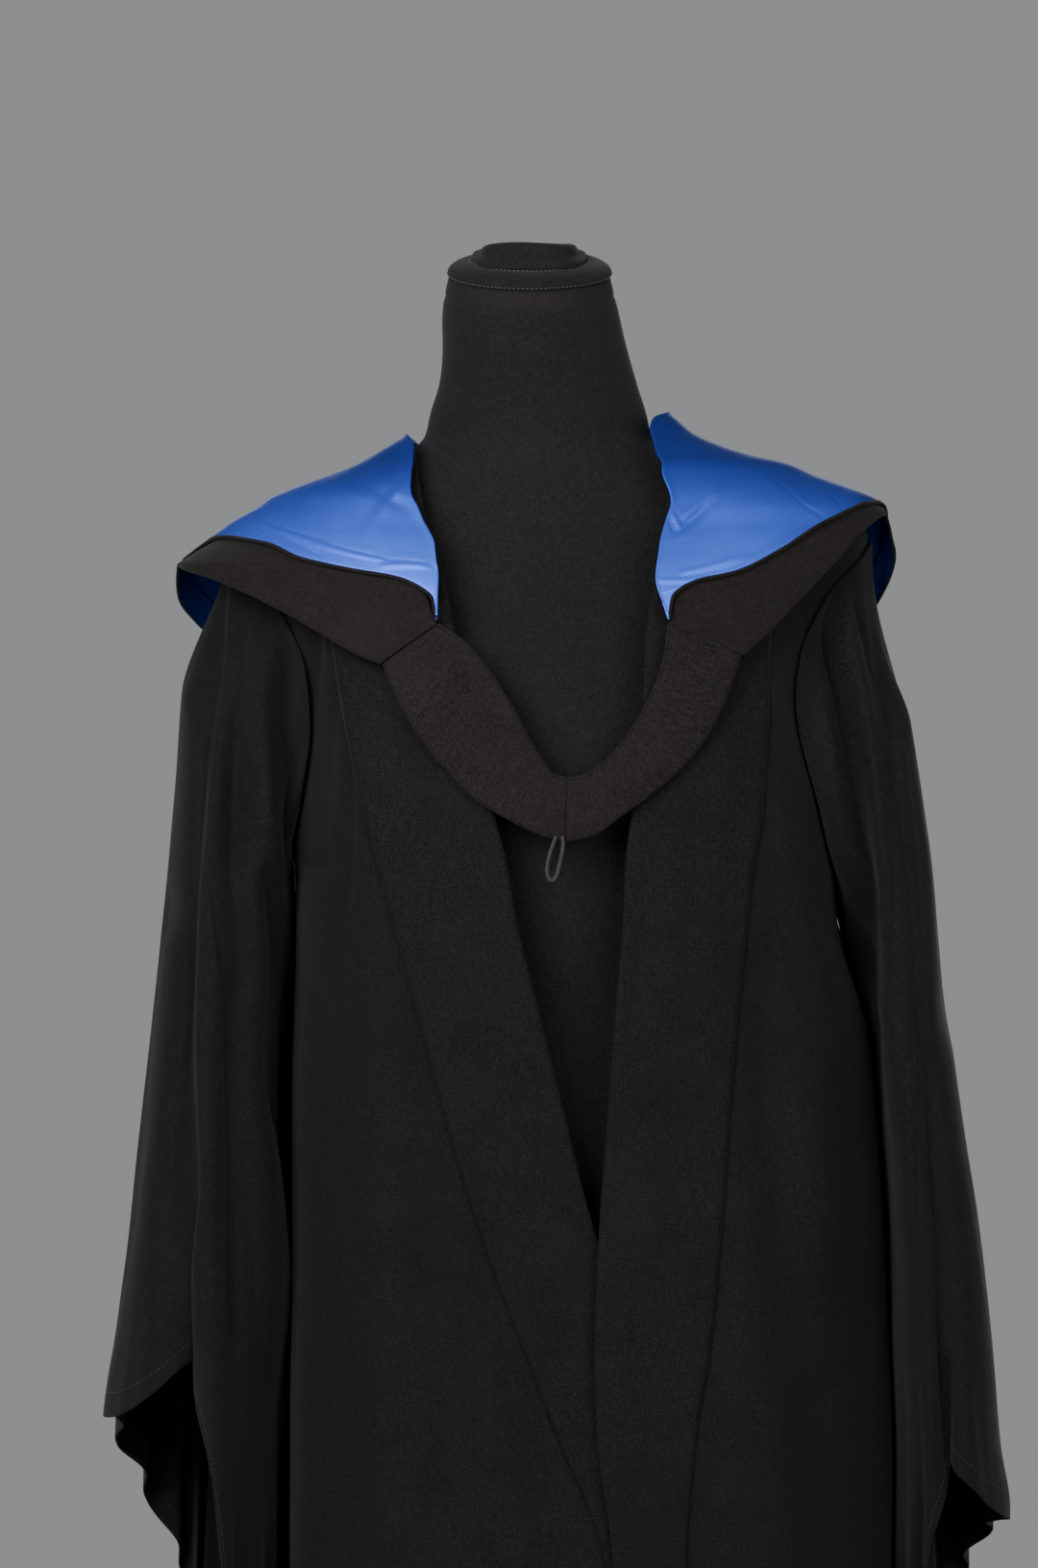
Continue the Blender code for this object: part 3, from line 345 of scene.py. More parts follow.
SHELL_RIGHT_ROWS = (
    (33.0, 1.3430, 20.2, 1.3640),
    (36.5, 1.3540, 22.0, 1.3900),
    (43.0, 1.3760, 31.0, 1.4050),
    (51.0, 1.4010, 41.0, 1.4210),
    (62.0, 1.4235, 53.0, 1.4395),
    (76.0, 1.4340, 69.0, 1.4490),
    (87.0, 1.4360, 84.0, 1.4490),
    (95.0, 1.4050, 98.0, 1.4300),
    (107.0, 1.3750, 112.0, 1.3970),
    (120.0, 1.3400, 126.0, 1.3560),
    (135.0, 1.2200, 141.0, 1.2680),
    (152.0, 1.0000, 158.0, 1.1300),
    (168.0, 0.8600, 170.0, 1.0250),
    (180.0, 0.8200, 180.0, 0.9750),
)
# Neckband of the V: outer (lower) and inner (higher) edge as seen from the front.
NECKBAND_COLUMNS = ("outer_x", "outer_z", "inner_x", "inner_z")
NECKBAND_LEFT_ROWS = (
    (-0.1023, 1.3380, -0.0655, 1.3640),
    (-0.0920, 1.3140, -0.0500, 1.3540),
    (-0.0758, 1.2874, -0.0345, 1.3370),
    (-0.0583, 1.2671, -0.0200, 1.3150),
    (-0.0400, 1.2495, -0.0085, 1.2940),
    (-0.0180, 1.2365, 0.0020, 1.2760),
    (0.0030, 1.2270, 0.0090, 1.2670),
    (0.0168, 1.2233, 0.0179, 1.2642),
)
NECKBAND_RIGHT_ROWS = (
    (0.0168, 1.2233, 0.0179, 1.2642),
    (0.0340, 1.2268, 0.0290, 1.2660),
    (0.0530, 1.2395, 0.0380, 1.2715),
    (0.0740, 1.2545, 0.0500, 1.2825),
    (0.0985, 1.2760, 0.0620, 1.2985),
    (0.1162, 1.3013, 0.0730, 1.3190),
    (0.1264, 1.3248, 0.0810, 1.3410),
    (0.1329, 1.3430, 0.0846, 1.3640),
)
LOOP_PATH = (
    (0.0112, 1.2275),
    (0.0090, 1.2216),
    (0.0062, 1.2140),
    (0.0042, 1.2050),
    (0.0055, 1.1985),
    (0.0085, 1.1970),
    (0.0115, 1.2000),
    (0.0128, 1.2070),
    (0.0145, 1.2150),
    (0.0160, 1.2212),
    (0.0150, 1.2275),
)
LOOP_RADIUS = 0.0011


def columns(names, rows):
    return {name: np.array([row[i] for row in rows]) for i, name in enumerate(names)}


def curve(xs, ys, x):
    """The smooth value at x through rows with rising xs, with no overshoot."""
    xs, ys = np.asarray(xs, float), np.asarray(ys, float)
    run = np.diff(xs)
    rate = np.diff(ys) / run
    slope = np.zeros(len(xs))
    slope[0], slope[-1] = rate[0], rate[-1]
    for i in range(1, len(xs) - 1):
        if rate[i - 1] * rate[i] > 0:
            w1 = 2 * run[i] + run[i - 1]
            w2 = run[i] + 2 * run[i - 1]
            slope[i] = (w1 + w2) / (w1 / rate[i - 1] + w2 / rate[i])
    x = np.clip(np.asarray(x, float), xs[0], xs[-1])
    i = np.clip(np.searchsorted(xs, x, side="right") - 1, 0, len(xs) - 2)
    t = (x - xs[i]) / run[i]
    ends = (2 * t**3 - 3 * t**2 + 1) * ys[i] + (3 * t**2 - 2 * t**3) * ys[i + 1]
    turns = (t**3 - 2 * t**2 + t) * slope[i] + (t**3 - t**2) * slope[i + 1]
    return ends + turns * run[i]


def ease(t):
    t = np.clip(t, 0.0, 1.0)
    return t * t * (3 - 2 * t)


def section_point(table, angle, z):
    """Point on a surface round the body."""
    a = np.radians(angle)
    s, c = np.sin(a), np.cos(a)
    wide = np.where(s < 0, curve(table["z"], table["left"], z), curve(table["z"], table["right"], z))
    deep = np.where(c > 0, curve(table["z"], table["front"], z), curve(table["z"], table["back"], z))
    n = curve(table["z"], table["square"], z)
    reach = (np.abs(s) ** n + np.abs(c) ** n) ** (-1 / n)
    return np.stack([wide * s * reach, -deep * c * reach, z + 0 * s], axis=-1)


def angle_at(table, x, z):
    """Angle of the front point whose distance across is x."""
    wide = np.where(x < 0, curve(table["z"], table["left"], z), curve(table["z"], table["right"], z))
    n = curve(table["z"], table["square"], z)
    part = np.clip(x / wide, -0.9999, 0.9999)
    return np.degrees(np.arctan2(part, (1 - np.abs(part) ** n) ** (1 / n)))


def outward(surface, u, v, du, dv):
    """Unit normal of a surface of two numbers, away from the body."""
    along = surface(u + du, v) - surface(u - du, v)
    up = surface(u, v + dv) - surface(u, v - dv)
    normal = np.cross(along, up)
    return normal / np.maximum(np.linalg.norm(normal, axis=-1, keepdims=True), 1e-12)


GOWN = columns(SECTION_COLUMNS, GOWN_ROWS)
HOOD = columns(SECTION_COLUMNS, HOOD_ROWS)
FORM = columns(FORM_COLUMNS, FORM_ROWS)


def pleat_part(z):
    """How far down the back's pleats a height is, 0 at their top and 1 at the hem."""
    return np.clip((BACK_PLEAT_TOP - z) / (BACK_PLEAT_TOP - HEM_Z), 0, 1)


def pleat_spread(z):
    side = np.minimum(curve(GOWN["z"], GOWN["left"], z), curve(GOWN["z"], GOWN["right"], z))
    return np.minimum(0.112 + 0.110 * pleat_part(z), 0.74 * side)


def pleat_x(k, z):
    """Where the middle of a back pleat runs, across."""
    share = (k + 0.5) / BACK_PLEATS * 2 - 1
    t = pleat_part(z)
    return share * pleat_spread(z) + (0.018 + 0.006 * np.sin(3.1 * k)) * t


def fold_rise(x, y, z):
    """How far the soft folds stand out from the gown's body."""
    rise = np.zeros(np.broadcast(x, z).shape)
    for side, x_top, z_top, x_foot, z_foot, wide, height in FOLD_ROWS:
        t = (z_top - z) / (z_top - z_foot)
        middle = x_top + (x_foot - x_top) * t
        shape = np.exp(-(((x - middle) / wide) ** 2)) * ease(t * 4) * ease((1.3 - t) * 4) * (0.7 + 0.6 * t)
        rise = rise + height * shape * (y < 0)
    t = pleat_part(z)
    for k in range(BACK_PLEATS):
        uneven = 1 + 0.25 * np.sin(2.3 * k + 1.0)
        shape = np.exp(-(((x - pleat_x(k, z)) / (0.0085 + 0.0100 * t)) ** 2))
        rise = rise + BACK_PLEAT_RISE * uneven * shape * (y > 0) * ease(t * 4) * (0.7 + 0.5 * t)
    return rise


def back_flare(y, z):
    """How much wider the back is than its section, by place."""
    return 1 + BACK_FLARE * ease(y / FLARE_DEPTH) * ease((FLARE_TOP - z) / 0.14)


def gown_point(angle, z, out=0.0):
    """Point on the gown's body, with its folds, moved out by a distance."""

    def plain(a, h):
        spot = section_point(GOWN, a, h)
        spot[..., 0] *= back_flare(spot[..., 1], h)
        return spot

    base = plain(angle, z)
    normal = outward(plain, angle, z, 0.2, 0.0015)
    rise = fold_rise(base[..., 0], base[..., 1], base[..., 2])
    return base + normal * (rise + out)[..., None]


def hood_point(angle, z, out=0.0):
    def plain(a, h):
        return section_point(HOOD, a, h)

    return plain(angle, z) + outward(plain, angle, z, 0.2, 0.0012) * (out + 0 * angle)[..., None]


def armhole_angle(z, more=0.0):
    """Angle from the centre front where the front's armhole edge runs."""
    middle = (UNDERARM_Z + SHOULDER_Z) / 2
    half = (SHOULDER_Z - UNDERARM_Z) / 2
    part = np.clip((z - middle) / half, -1, 1)
    return 90.0 - (ARMHOLE_ANGLE + more) * np.sqrt(1 - part**2)


def overlap_out(x, z):
    """The right front lies over the left one: how far it stands off, by place."""
    return OVERLAP_OUT * ease((0.185 - x) / 0.04) * ease((1.06 - z) / 0.10)


class Sleeve:
    """A flattened hanging tube, gathered round the armhole."""

    def __init__(self, side):
        self.side = side
        self.sizes = columns(SLEEVE_COLUMNS, SLEEVE_RIGHT_ROWS if side > 0 else SLEEVE_LEFT_ROWS)
        self.grooves = columns(GROOVE_COLUMNS, GROOVES_RIGHT if side > 0 else GROOVES_LEFT)
        hems = columns(HEM_COLUMNS, HEM_ROWS)
        self.hem_angle = hems["angle"]
        self.hem_z = hems["right" if side > 0 else "left"]
        self.count = len(self.grooves["top"])

    def between(self, key, u):
        """A groove's value at fold number u, the same again after the last fold."""
        values = self.grooves[key]
        turn = 360.0 if key in ("top", "hem") else 0.0
        k = np.floor(u).astype(int)
        part = u - k
        low = values[k % self.count] + turn * (k // self.count)
        high = values[(k + 1) % self.count] + turn * ((k + 1) // self.count)
        return low + (high - low) * part

    def point(self, u, s):
        low_part = ease(s * 1.05)
        angle = self.between("top", u) * (1 - low_part) + self.between("hem", u) * low_part
        turn = np.mod(angle, 360.0)
        hem = curve(self.hem_angle, self.hem_z, turn)
        middle = (UNDERARM_Z + SHOULDER_Z) / 2
        half = (SHOULDER_Z - UNDERARM_Z) / 2 + 0.004
        a = np.radians(angle)
        top = middle + half * np.cos(a)
        z = top + (hem - top) * s
        t = self.sizes
        outer, inner = curve(t["z"], t["outer"], z), curve(t["z"], t["inner"], z)
        front, back = curve(t["z"], t["front"], z), curve(t["z"], t["back"], z)
        n = 2.0 + 0.5 * ease((1.36 - z) / 0.2)
        c, d = np.cos(a), np.sin(a)
        reach = (np.abs(c) ** n + np.abs(d) ** n) ** (-1 / n)
        deep = np.where(d > 0, front, back)
        tube = np.stack([(outer + inner) / 2 + (outer - inner) / 2 * c * reach, -deep * d * reach, z], axis=-1)
        level = np.clip(s, 0, 1)
        depth = np.where(
            level < 0.5,
            self.between("deep_top", u) * (1 - 2 * level) + self.between("deep_middle", u) * 2 * level,
            self.between("deep_middle", u) * (2 - 2 * level) + self.between("deep_hem", u) * (2 * level - 1),
        )
        groove = np.cos(np.pi * (u - np.round(u))) ** 3
        smooth_front = ease((d - 0.05) / 0.35) * (1 - ease((level - 0.72) / 0.26))
        pull = depth * (1 - 0.9 * smooth_front) * (groove - 0.25)
        slope = np.stack([c * reach, -d * reach * 0.6, 0 * c], axis=-1)
        slope = slope / np.linalg.norm(slope, axis=-1, keepdims=True)
        tube = tube - slope * pull[..., None]
        half_body = curve(GOWN["z"], GOWN["right" if self.side > 0 else "left"], z)
        within = ease((0.3 - c * reach) / 0.9)
        tube[..., 0] += half_body * (back_flare(tube[..., 1], z) - 1) * within
        tube[..., 0] *= self.side
        body_angle = self.side * (90.0 - (ARMHOLE_ANGLE + 3.5) * np.sin(a))
        gather = 0.0008 * (0.5 - groove) + 0.0007 * (1 - c)
        edge = gown_point(body_angle, top, CLOTH * 1.5 + GAP + 0.0009 + gather)
        edge[..., 2] = z
        w = ease(s / 0.17)[..., None]
        return edge * (1 - w) + tube * w


def neck_lean(z):
    """How far the neck is tipped forwards at a height, in degrees."""
    return CAP_TILT * ease((z - 1.50) / 0.094)


# Hanging folds, here and below: spots (x, z) down the fold, half width at top and foot,
# dip (below 0 a ridge) and lap.
FRONT_LEFT_FOLDS = (
    (((-0.142, 1.368), (-0.146, 1.320), (-0.152, 1.262)), 0.0054, 0.0120, 0.0047, 0.0010),
    (((-0.127, 1.360), (-0.128, 1.318), (-0.132, 1.262)), 0.0051, 0.0090, 0.0039, -0.0008),
    (((-0.116, 1.330), (-0.119, 1.240), (-0.124, 1.150)), 0.0039, 0.0051, 0.0029, -0.0006),
    (((-0.108, 1.140), (-0.104, 0.940), (-0.096, 0.720)), 0.0140, 0.0180, -0.0026, 0.0),
    (((-0.082, 1.110), (-0.068, 0.920), (-0.052, 0.740)), 0.0100, 0.0160, 0.0026, 0.0),
    (((-0.140, 1.120), (-0.136, 0.900), (-0.130, 0.700)), 0.0100, 0.0140, 0.0028, 0.0),
    (((-0.060, 0.980), (-0.030, 0.840), (0.000, 0.700)), 0.0080, 0.0120, -0.0020, 0.0),
    (((-0.040, 0.760), (-0.010, 0.560), (0.010, 0.330)), 0.0120, 0.0180, 0.0044, 0.0),
    (((-0.120, 0.700), (-0.130, 0.500), (-0.140, 0.300)), 0.0140, 0.0180, 0.0046, 0.0),
    (((-0.070, 0.660), (-0.078, 0.480), (-0.084, 0.300)), 0.0120, 0.0160, -0.0036, 0.0),
)
FRONT_RIGHT_FOLDS = (
    (((0.146, 1.340), (0.158, 1.290), (0.170, 1.250)), 0.0043, 0.0068, -0.0029, 0.0010),
    (((0.146, 1.262), (0.170, 1.160), (0.192, 1.060)), 0.0054, 0.0121, -0.0039, 0.0014),
    (((0.138, 1.150), (0.156, 0.980), (0.168, 0.760)), 0.0120, 0.0170, 0.0034, 0.0),
    (((0.184, 1.060), (0.194, 0.900), (0.200, 0.720)), 0.0090, 0.0120, 0.0026, 0.0),
    (((0.128, 0.980), (0.124, 0.840), (0.118, 0.700)), 0.0090, 0.0110, -0.0020, 0.0),
    (((0.178, 0.860), (0.190, 0.600), (0.200, 0.340)), 0.0130, 0.0170, 0.0040, 0.0),
    (((0.146, 0.700), (0.156, 0.500), (0.166, 0.300)), 0.0130, 0.0160, -0.0040, 0.0),
    (((0.108, 0.660), (0.112, 0.480), (0.118, 0.300)), 0.0110, 0.0140, 0.0030, 0.0),
)
# Creases seen from the front or back: ends, sideways bow, half width and rise (troughs below 0).
BAND_CREASES = (
    (-0.113, 1.294, -0.057, 1.069, 0.004, 0.0120, 0.0007),
    (-0.082, 1.269, -0.010, 1.018, 0.006, 0.0140, -0.0007),
    (-0.038, 0.999, 0.037, 0.803, 0.004, 0.0110, 0.0008),
    (-0.030, 1.080, 0.012, 0.930, 0.002, 0.0090, -0.0006),
    (0.074, 1.232, 0.050, 0.993, 0.004, 0.0120, -0.0007),
    (0.124, 1.294, 0.108, 1.081, 0.003, 0.0100, 0.0007),
    (0.060, 0.968, 0.046, 0.765, 0.004, 0.0090, 0.0009),
    (0.087, 1.007, 0.080, 0.792, 0.003, 0.0120, -0.0008),
)
BACK_CREASES = (
    (-0.120, 1.300, -0.150, 0.900, 0.006, 0.0090, -0.0025),
    (-0.060, 0.860, -0.075, 0.420, 0.008, 0.0100, 0.0030),
    (0.020, 0.800, 0.030, 0.330, 0.006, 0.0100, -0.0030),
    (0.070, 0.940, 0.090, 0.500, 0.006, 0.0090, 0.0028),
    (0.120, 1.290, 0.160, 0.880, 0.006, 0.0090, -0.0026),
    (-0.140, 0.760, -0.180, 0.330, 0.010, 0.0140, 0.0034),
    (0.150, 0.760, 0.190, 0.340, 0.010, 0.0140, -0.0034),
)
SLEEVE_LEFT_FOLDS = (
    (
        (
            (-0.206, 1.392), (-0.213, 1.300), (-0.221, 1.215), (-0.226, 1.098),
            (-0.224, 1.019), (-0.226, 0.930), (-0.230, 0.860),
        ),
        0.0046, 0.0060, 0.0030, 0.0055,
    ),
    (((-0.232, 1.150), (-0.236, 1.019), (-0.240, 0.930), (-0.244, 0.860)), 0.0080, 0.0110, 0.0060, 0.0),
    (
        (
            (-0.187, 1.378), (-0.195, 1.345), (-0.199, 1.273), (-0.202, 1.190),
            (-0.204, 1.090), (-0.202, 0.960), (-0.198, 0.860),
        ),
        0.0063, 0.0100, 0.0087, 0.0026,
    ),
    (((-0.196, 1.384), (-0.203, 1.350), (-0.207, 1.290)), 0.0042, 0.0057, 0.0059, 0.0017),
    (((-0.177, 1.372), (-0.181, 1.345), (-0.184, 1.285)), 0.0055, 0.0083, 0.0070, 0.0010),
    (((-0.166, 1.366), (-0.168, 1.297), (-0.164, 1.257), (-0.163, 1.180)), 0.0065, 0.0100, 0.0119, -0.0036),
    (((-0.216, 1.400), (-0.219, 1.352), (-0.226, 1.280)), 0.0047, 0.0088, 0.0056, -0.0022),
    (
        ((-0.186, 1.196), (-0.183, 1.069), (-0.174, 1.002), (-0.166, 0.920), (-0.160, 0.872)),
        0.0070, 0.0090, 0.0060, -0.0070,
    ),
    (((-0.250, 1.180), (-0.262, 1.050), (-0.276, 0.900)), 0.0140, 0.0180, 0.0030, 0.0),
    (((-0.212, 1.180), (-0.216, 1.060), (-0.216, 0.930)), 0.0080, 0.0100, -0.0028, 0.0),
    (((-0.178, 1.300), (-0.176, 1.240), (-0.172, 1.160)), 0.0080, 0.0090, -0.0036, 0.0),
)
SLEEVE_RIGHT_FOLDS = (
    (((0.190, 1.386), (0.212, 1.230), (0.222, 1.040)), 0.0057, 0.0083, 0.0096, 0.0030),
    (((0.188, 1.394), (0.214, 1.262), (0.231, 1.130)), 0.0055, 0.0073, 0.0049, 0.0045),
    (((0.205, 1.400), (0.224, 1.280), (0.238, 1.180)), 0.0047, 0.0062, 0.0055, -0.0018),
    (((0.220, 1.410), (0.236, 1.270), (0.250, 1.140)), 0.0052, 0.0065, 0.0049, 0.0037),
    (((0.200, 1.402), (0.208, 1.366), (0.214, 1.330)), 0.0039, 0.0052, 0.0049, 0.0013),
    (((0.176, 1.384), (0.182, 1.350), (0.186, 1.316)), 0.0044, 0.0062, 0.0064, 0.0010),
    (((0.244, 1.110), (0.256, 0.985), (0.267, 0.828)), 0.0052, 0.0062, 0.0026, -0.0046),
    (((0.258, 1.080), (0.268, 0.960), (0.277, 0.828)), 0.0080, 0.0110, 0.0050, 0.0),
    (((0.228, 1.100), (0.233, 1.000), (0.238, 0.880)), 0.0080, 0.0110, 0.0040, 0.0),
)
SLEEVE_BACK_CREASES = (
    (-0.226, 1.300, -0.236, 1.120, 0.002, 0.0040, -0.0022),
    (-0.210, 1.280, -0.214, 1.040, 0.003, 0.0040, 0.0024),
    (-0.250, 1.100, -0.270, 0.860, 0.003, 0.0070, 0.0022),
    (-0.214, 0.980, -0.222, 0.700, 0.004, 0.0070, -0.0028),
    (0.228, 1.300, 0.242, 1.110, 0.002, 0.0040, 0.0024),
    (0.218, 1.260, 0.230, 1.000, 0.003, 0.0040, -0.0024),
    (0.262, 1.080, 0.288, 0.850, 0.003, 0.0070, -0.0022),
    (0.250, 0.940, 0.262, 0.680, 0.004, 0.0070, 0.0028),
)
LINING_CREASES = (
    (-0.131, 1.460, -0.208, 1.429, 0.001, 0.0009, 0.0005),
    (-0.100, 1.404, -0.175, 1.425, -0.002, 0.0014, 0.0011),
    (-0.136, 1.415, -0.192, 1.430, -0.001, 0.0012, 0.0008),
    (-0.144, 1.408, -0.162, 1.417, 0.000, 0.0014, -0.0007),
    (-0.085, 1.436, -0.140, 1.463, 0.003, 0.0051, -0.0010),
    (-0.072, 1.400, -0.104, 1.400, 0.001, 0.0017, 0.0010),
    (-0.181, 1.424, -0.186, 1.419, 0.000, 0.0010, 0.0006),
    (-0.144, 1.415, -0.144, 1.405, 0.000, 0.0010, -0.0005),
    (-0.090, 1.452, -0.112, 1.420, 0.002, 0.0043, 0.0006),
    (0.086, 1.420, 0.114, 1.446, 0.002, 0.0029, -0.0013),
    (0.090, 1.432, 0.120, 1.452, 0.002, 0.0034, 0.0007),
    (0.086, 1.437, 0.093, 1.425, 0.000, 0.0014, 0.0009),
    (0.084, 1.431, 0.088, 1.423, 0.000, 0.0011, -0.0008),
    (0.154, 1.460, 0.192, 1.430, 0.001, 0.0011, -0.0006),
    (0.168, 1.448, 0.183, 1.438, 0.000, 0.0011, 0.0006),
    (0.195, 1.447, 0.202, 1.439, 0.000, 0.0010, -0.0006),
    (0.092, 1.396, 0.136, 1.407, 0.001, 0.0020, 0.0010),
    (0.074, 1.391, 0.112, 1.393, 0.001, 0.0015, 0.0010),
    (0.080, 1.383, 0.094, 1.388, 0.000, 0.0010, 0.0006),
    (0.083, 1.379, 0.092, 1.385, 0.000, 0.0009, -0.0005),
    (0.127, 1.402, 0.184, 1.430, -0.002, 0.0043, -0.0005),
)
HOOD_CREASES = (
    (-0.082, 1.371, -0.070, 1.380, 0.000, 0.0012, 0.0010),
    (-0.146, 1.401, -0.128, 1.390, 0.001, 0.0040, -0.0010),
    (-0.156, 1.375, -0.108, 1.361, 0.001, 0.0060, 0.0010),
    (-0.210, 1.394, -0.145, 1.370, 0.001, 0.0050, 0.0007),
    (0.096, 1.359, 0.113, 1.363, 0.000, 0.0020, 0.0012),
    (0.089, 1.362, 0.100, 1.356, 0.000, 0.0016, -0.0010),
    (0.125, 1.368, 0.182, 1.403, 0.002, 0.0060, 0.0008),
    (0.092, 1.352, 0.124, 1.344, -0.002, 0.0018, 0.0011),
    (0.086, 1.345, 0.104, 1.334, 0.000, 0.0022, -0.0009),
    (-0.088, 1.338, -0.025, 1.254, 0.004, 0.0080, 0.0009),
    (-0.050, 1.275, -0.001, 1.236, 0.002, 0.0060, -0.0008),
    (0.049, 1.250, 0.099, 1.288, -0.002, 0.0070, 0.0008),
)
HOOD_BACK_CREASES = (
    (-0.030, 1.440, -0.012, 1.050, 0.006, 0.0080, 0.0024),
    (0.030, 1.440, 0.012, 1.050, -0.006, 0.0080, 0.0024),
    (-0.110, 1.430, -0.030, 1.080, 0.020, 0.0070, -0.0020),
    (0.110, 1.430, 0.030, 1.080, -0.020, 0.0070, -0.0020),
    (-0.140, 1.400, -0.070, 1.160, 0.016, 0.0050, 0.0018),
    (0.140, 1.400, 0.070, 1.160, -0.016, 0.0050, 0.0018),
)


def crease_rise(rows, x, z):
    """How far a set of creases lifts the cloth: a ridge or trough with a shallower one beside it."""
    total = 0 * x
    for x_top, z_top, x_foot, z_foot, bow, wide, rise in rows:
        run = math.hypot(x_foot - x_top, z_foot - z_top)
        along_x, along_z = (x_foot - x_top) / run, (z_foot - z_top) / run
        t = ((x - x_top) * along_x + (z - z_top) * along_z) / run
        off = (x - x_top) * along_z - (z - z_top) * along_x - bow * 4 * t * (1 - t)
        spread = wide * (0.75 + 0.5 * np.clip(t, 0, 1))
        q = off / spread
        shape = np.exp(-q * q) - 0.42 * np.exp(-((q - 1.7) ** 2))
        total = total + rise * shape * ease((t + 0.12) / 0.34) * ease((1.12 - t) / 0.34)
    return total


def hanging_folds(rows, x, z):
    """How far the hanging folds lift the cloth: a rounded groove, and a lap of one roll over the next."""
    total = 0 * x
    for path, wide_top, wide_foot, dip, lap in rows:
        spots = np.array(path)[::-1]
        low, high = spots[0, 1], spots[-1, 1]
        t = np.clip((z - low) / (high - low), 0, 1)
        wide = wide_foot + (wide_top - wide_foot) * t
        off = (x - curve(spots[:, 1], spots[:, 0], np.clip(z, low, high))) / wide
        groove = -np.exp(-off * off) + 0.45 * np.exp(-(((np.abs(off) - 2.3) / 1.2) ** 2))
        step = np.tanh(1.6 * off) * np.exp(-((off / 3.4) ** 2))
        ends = ease((z - low + 0.05) / 0.13) * ease((high + 0.02 - z) / 0.03)
        total = total + (dip * groove + lap * step) * ends
    return total


def sway(x, z, size, seed):
    """Slow unevenness of hanging cloth, longer down than across."""
    total = 0 * x
    for k in range(6):
        a = 41.0 * (1 + 0.37 * k) * (1 + 0.1 * math.sin(seed + k))
        b = 9.0 * (1 + 0.55 * k)
        total = total + np.sin(a * x + b * z + seed * (k + 1.7) + 1.3 * np.sin(b * z * 0.7 + seed)) / (k + 1.5)
    return size * total


# ---- ways of making the pieces
def laid(name, place, across, down, size, thick, finishes, ring=False, centre=(0.0, 0.0), rounding=True):
    """A sheet of cloth: a flat grid laid in place, mapped by the cloth's own measure, then thickened."""
    sheet = bmesh.new()
    bmesh.ops.create_grid(sheet, x_segments=across, y_segments=down, size=0.5)
    flat = np.array([point.co[:2] for point in sheet.verts]) + 0.5
    spots = place(flat[:, 0], flat[:, 1])
    for point, spot in zip(sheet.verts, spots):
        point.co = spot
    chart = sheet.loops.layers.uv.new("cloth")
    for face in sheet.faces:
        face.smooth = True
        for corner in face.loops:
            u, v = flat[corner.vert.index]
            corner[chart].uv = (u * size[0], v * size[1])
    if ring:
        bmesh.ops.remove_doubles(sheet, verts=sheet.verts, dist=1e-6)
    sheet.normal_update()
    middle = Vector((*centre, 0.0))
    facing = 0.0
    for face in sheet.faces:
        away = face.calc_center_median() - middle
        away.z = 0.0
        facing += away.normalized().dot(face.normal) * face.calc_area()
    if facing < 0:
        bmesh.ops.reverse_faces(sheet, faces=sheet.faces)
    piece = finished(name, sheet, finishes)
    if thick:
        wall = piece.modifiers.new("thickness", "SOLIDIFY")
        wall.thickness = thick
        wall.offset = 0.0
        wall.material_offset = 1 if len(finishes) > 1 else 0
    return piece


def finished(name, shape, finishes):
    mesh = bpy.data.meshes.new(name)
    shape.to_mesh(mesh)
    shape.free()
    for finish in finishes:
        mesh.materials.append(finish)
    piece = bpy.data.objects.new(name, mesh)
    bpy.context.scene.collection.objects.link(piece)
    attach(piece, "root")
    return piece


def evenly(path, step):
    """The points of a path at even steps, with the way it runs at each."""
    path = np.asarray(path)
    runs = np.concatenate([[0], np.cumsum(np.linalg.norm(np.diff(path, axis=0), axis=1))])
    count = max(2, int(runs[-1] / step))
    at = (np.arange(count) + 0.5) * runs[-1] / count
    spots = np.stack([np.interp(at, runs, path[:, k]) for k in range(3)], axis=-1)
    ahead = np.stack([np.interp(at + step * 0.3, runs, path[:, k]) for k in range(3)], axis=-1)
    behind = np.stack([np.interp(at - step * 0.3, runs, path[:, k]) for k in range(3)], axis=-1)
    way = ahead - behind
    return spots, way / np.maximum(np.linalg.norm(way, axis=1, keepdims=True), 1e-9)


def stitches(name, paths, finish, step=0.0034, long=0.0011, round=0.00022):
    """Rows of sewn stitches, each a small plump dash of thread."""
    rows = bmesh.new()
    for path in paths:
        spots, ways = evenly(path, step)
        for spot, way in zip(spots, ways):
            turn = Vector(way).to_track_quat("Z", "Y").to_matrix().to_4x4()
            grow = Matrix.Diagonal((round, round, long, 1.0))
            placed = Matrix.Translation(spot) @ turn @ grow
            bmesh.ops.create_icosphere(rows, subdivisions=1, radius=1.0, matrix=placed)
    for face in rows.faces:
        face.smooth = True
    return finished(name, rows, [finish])


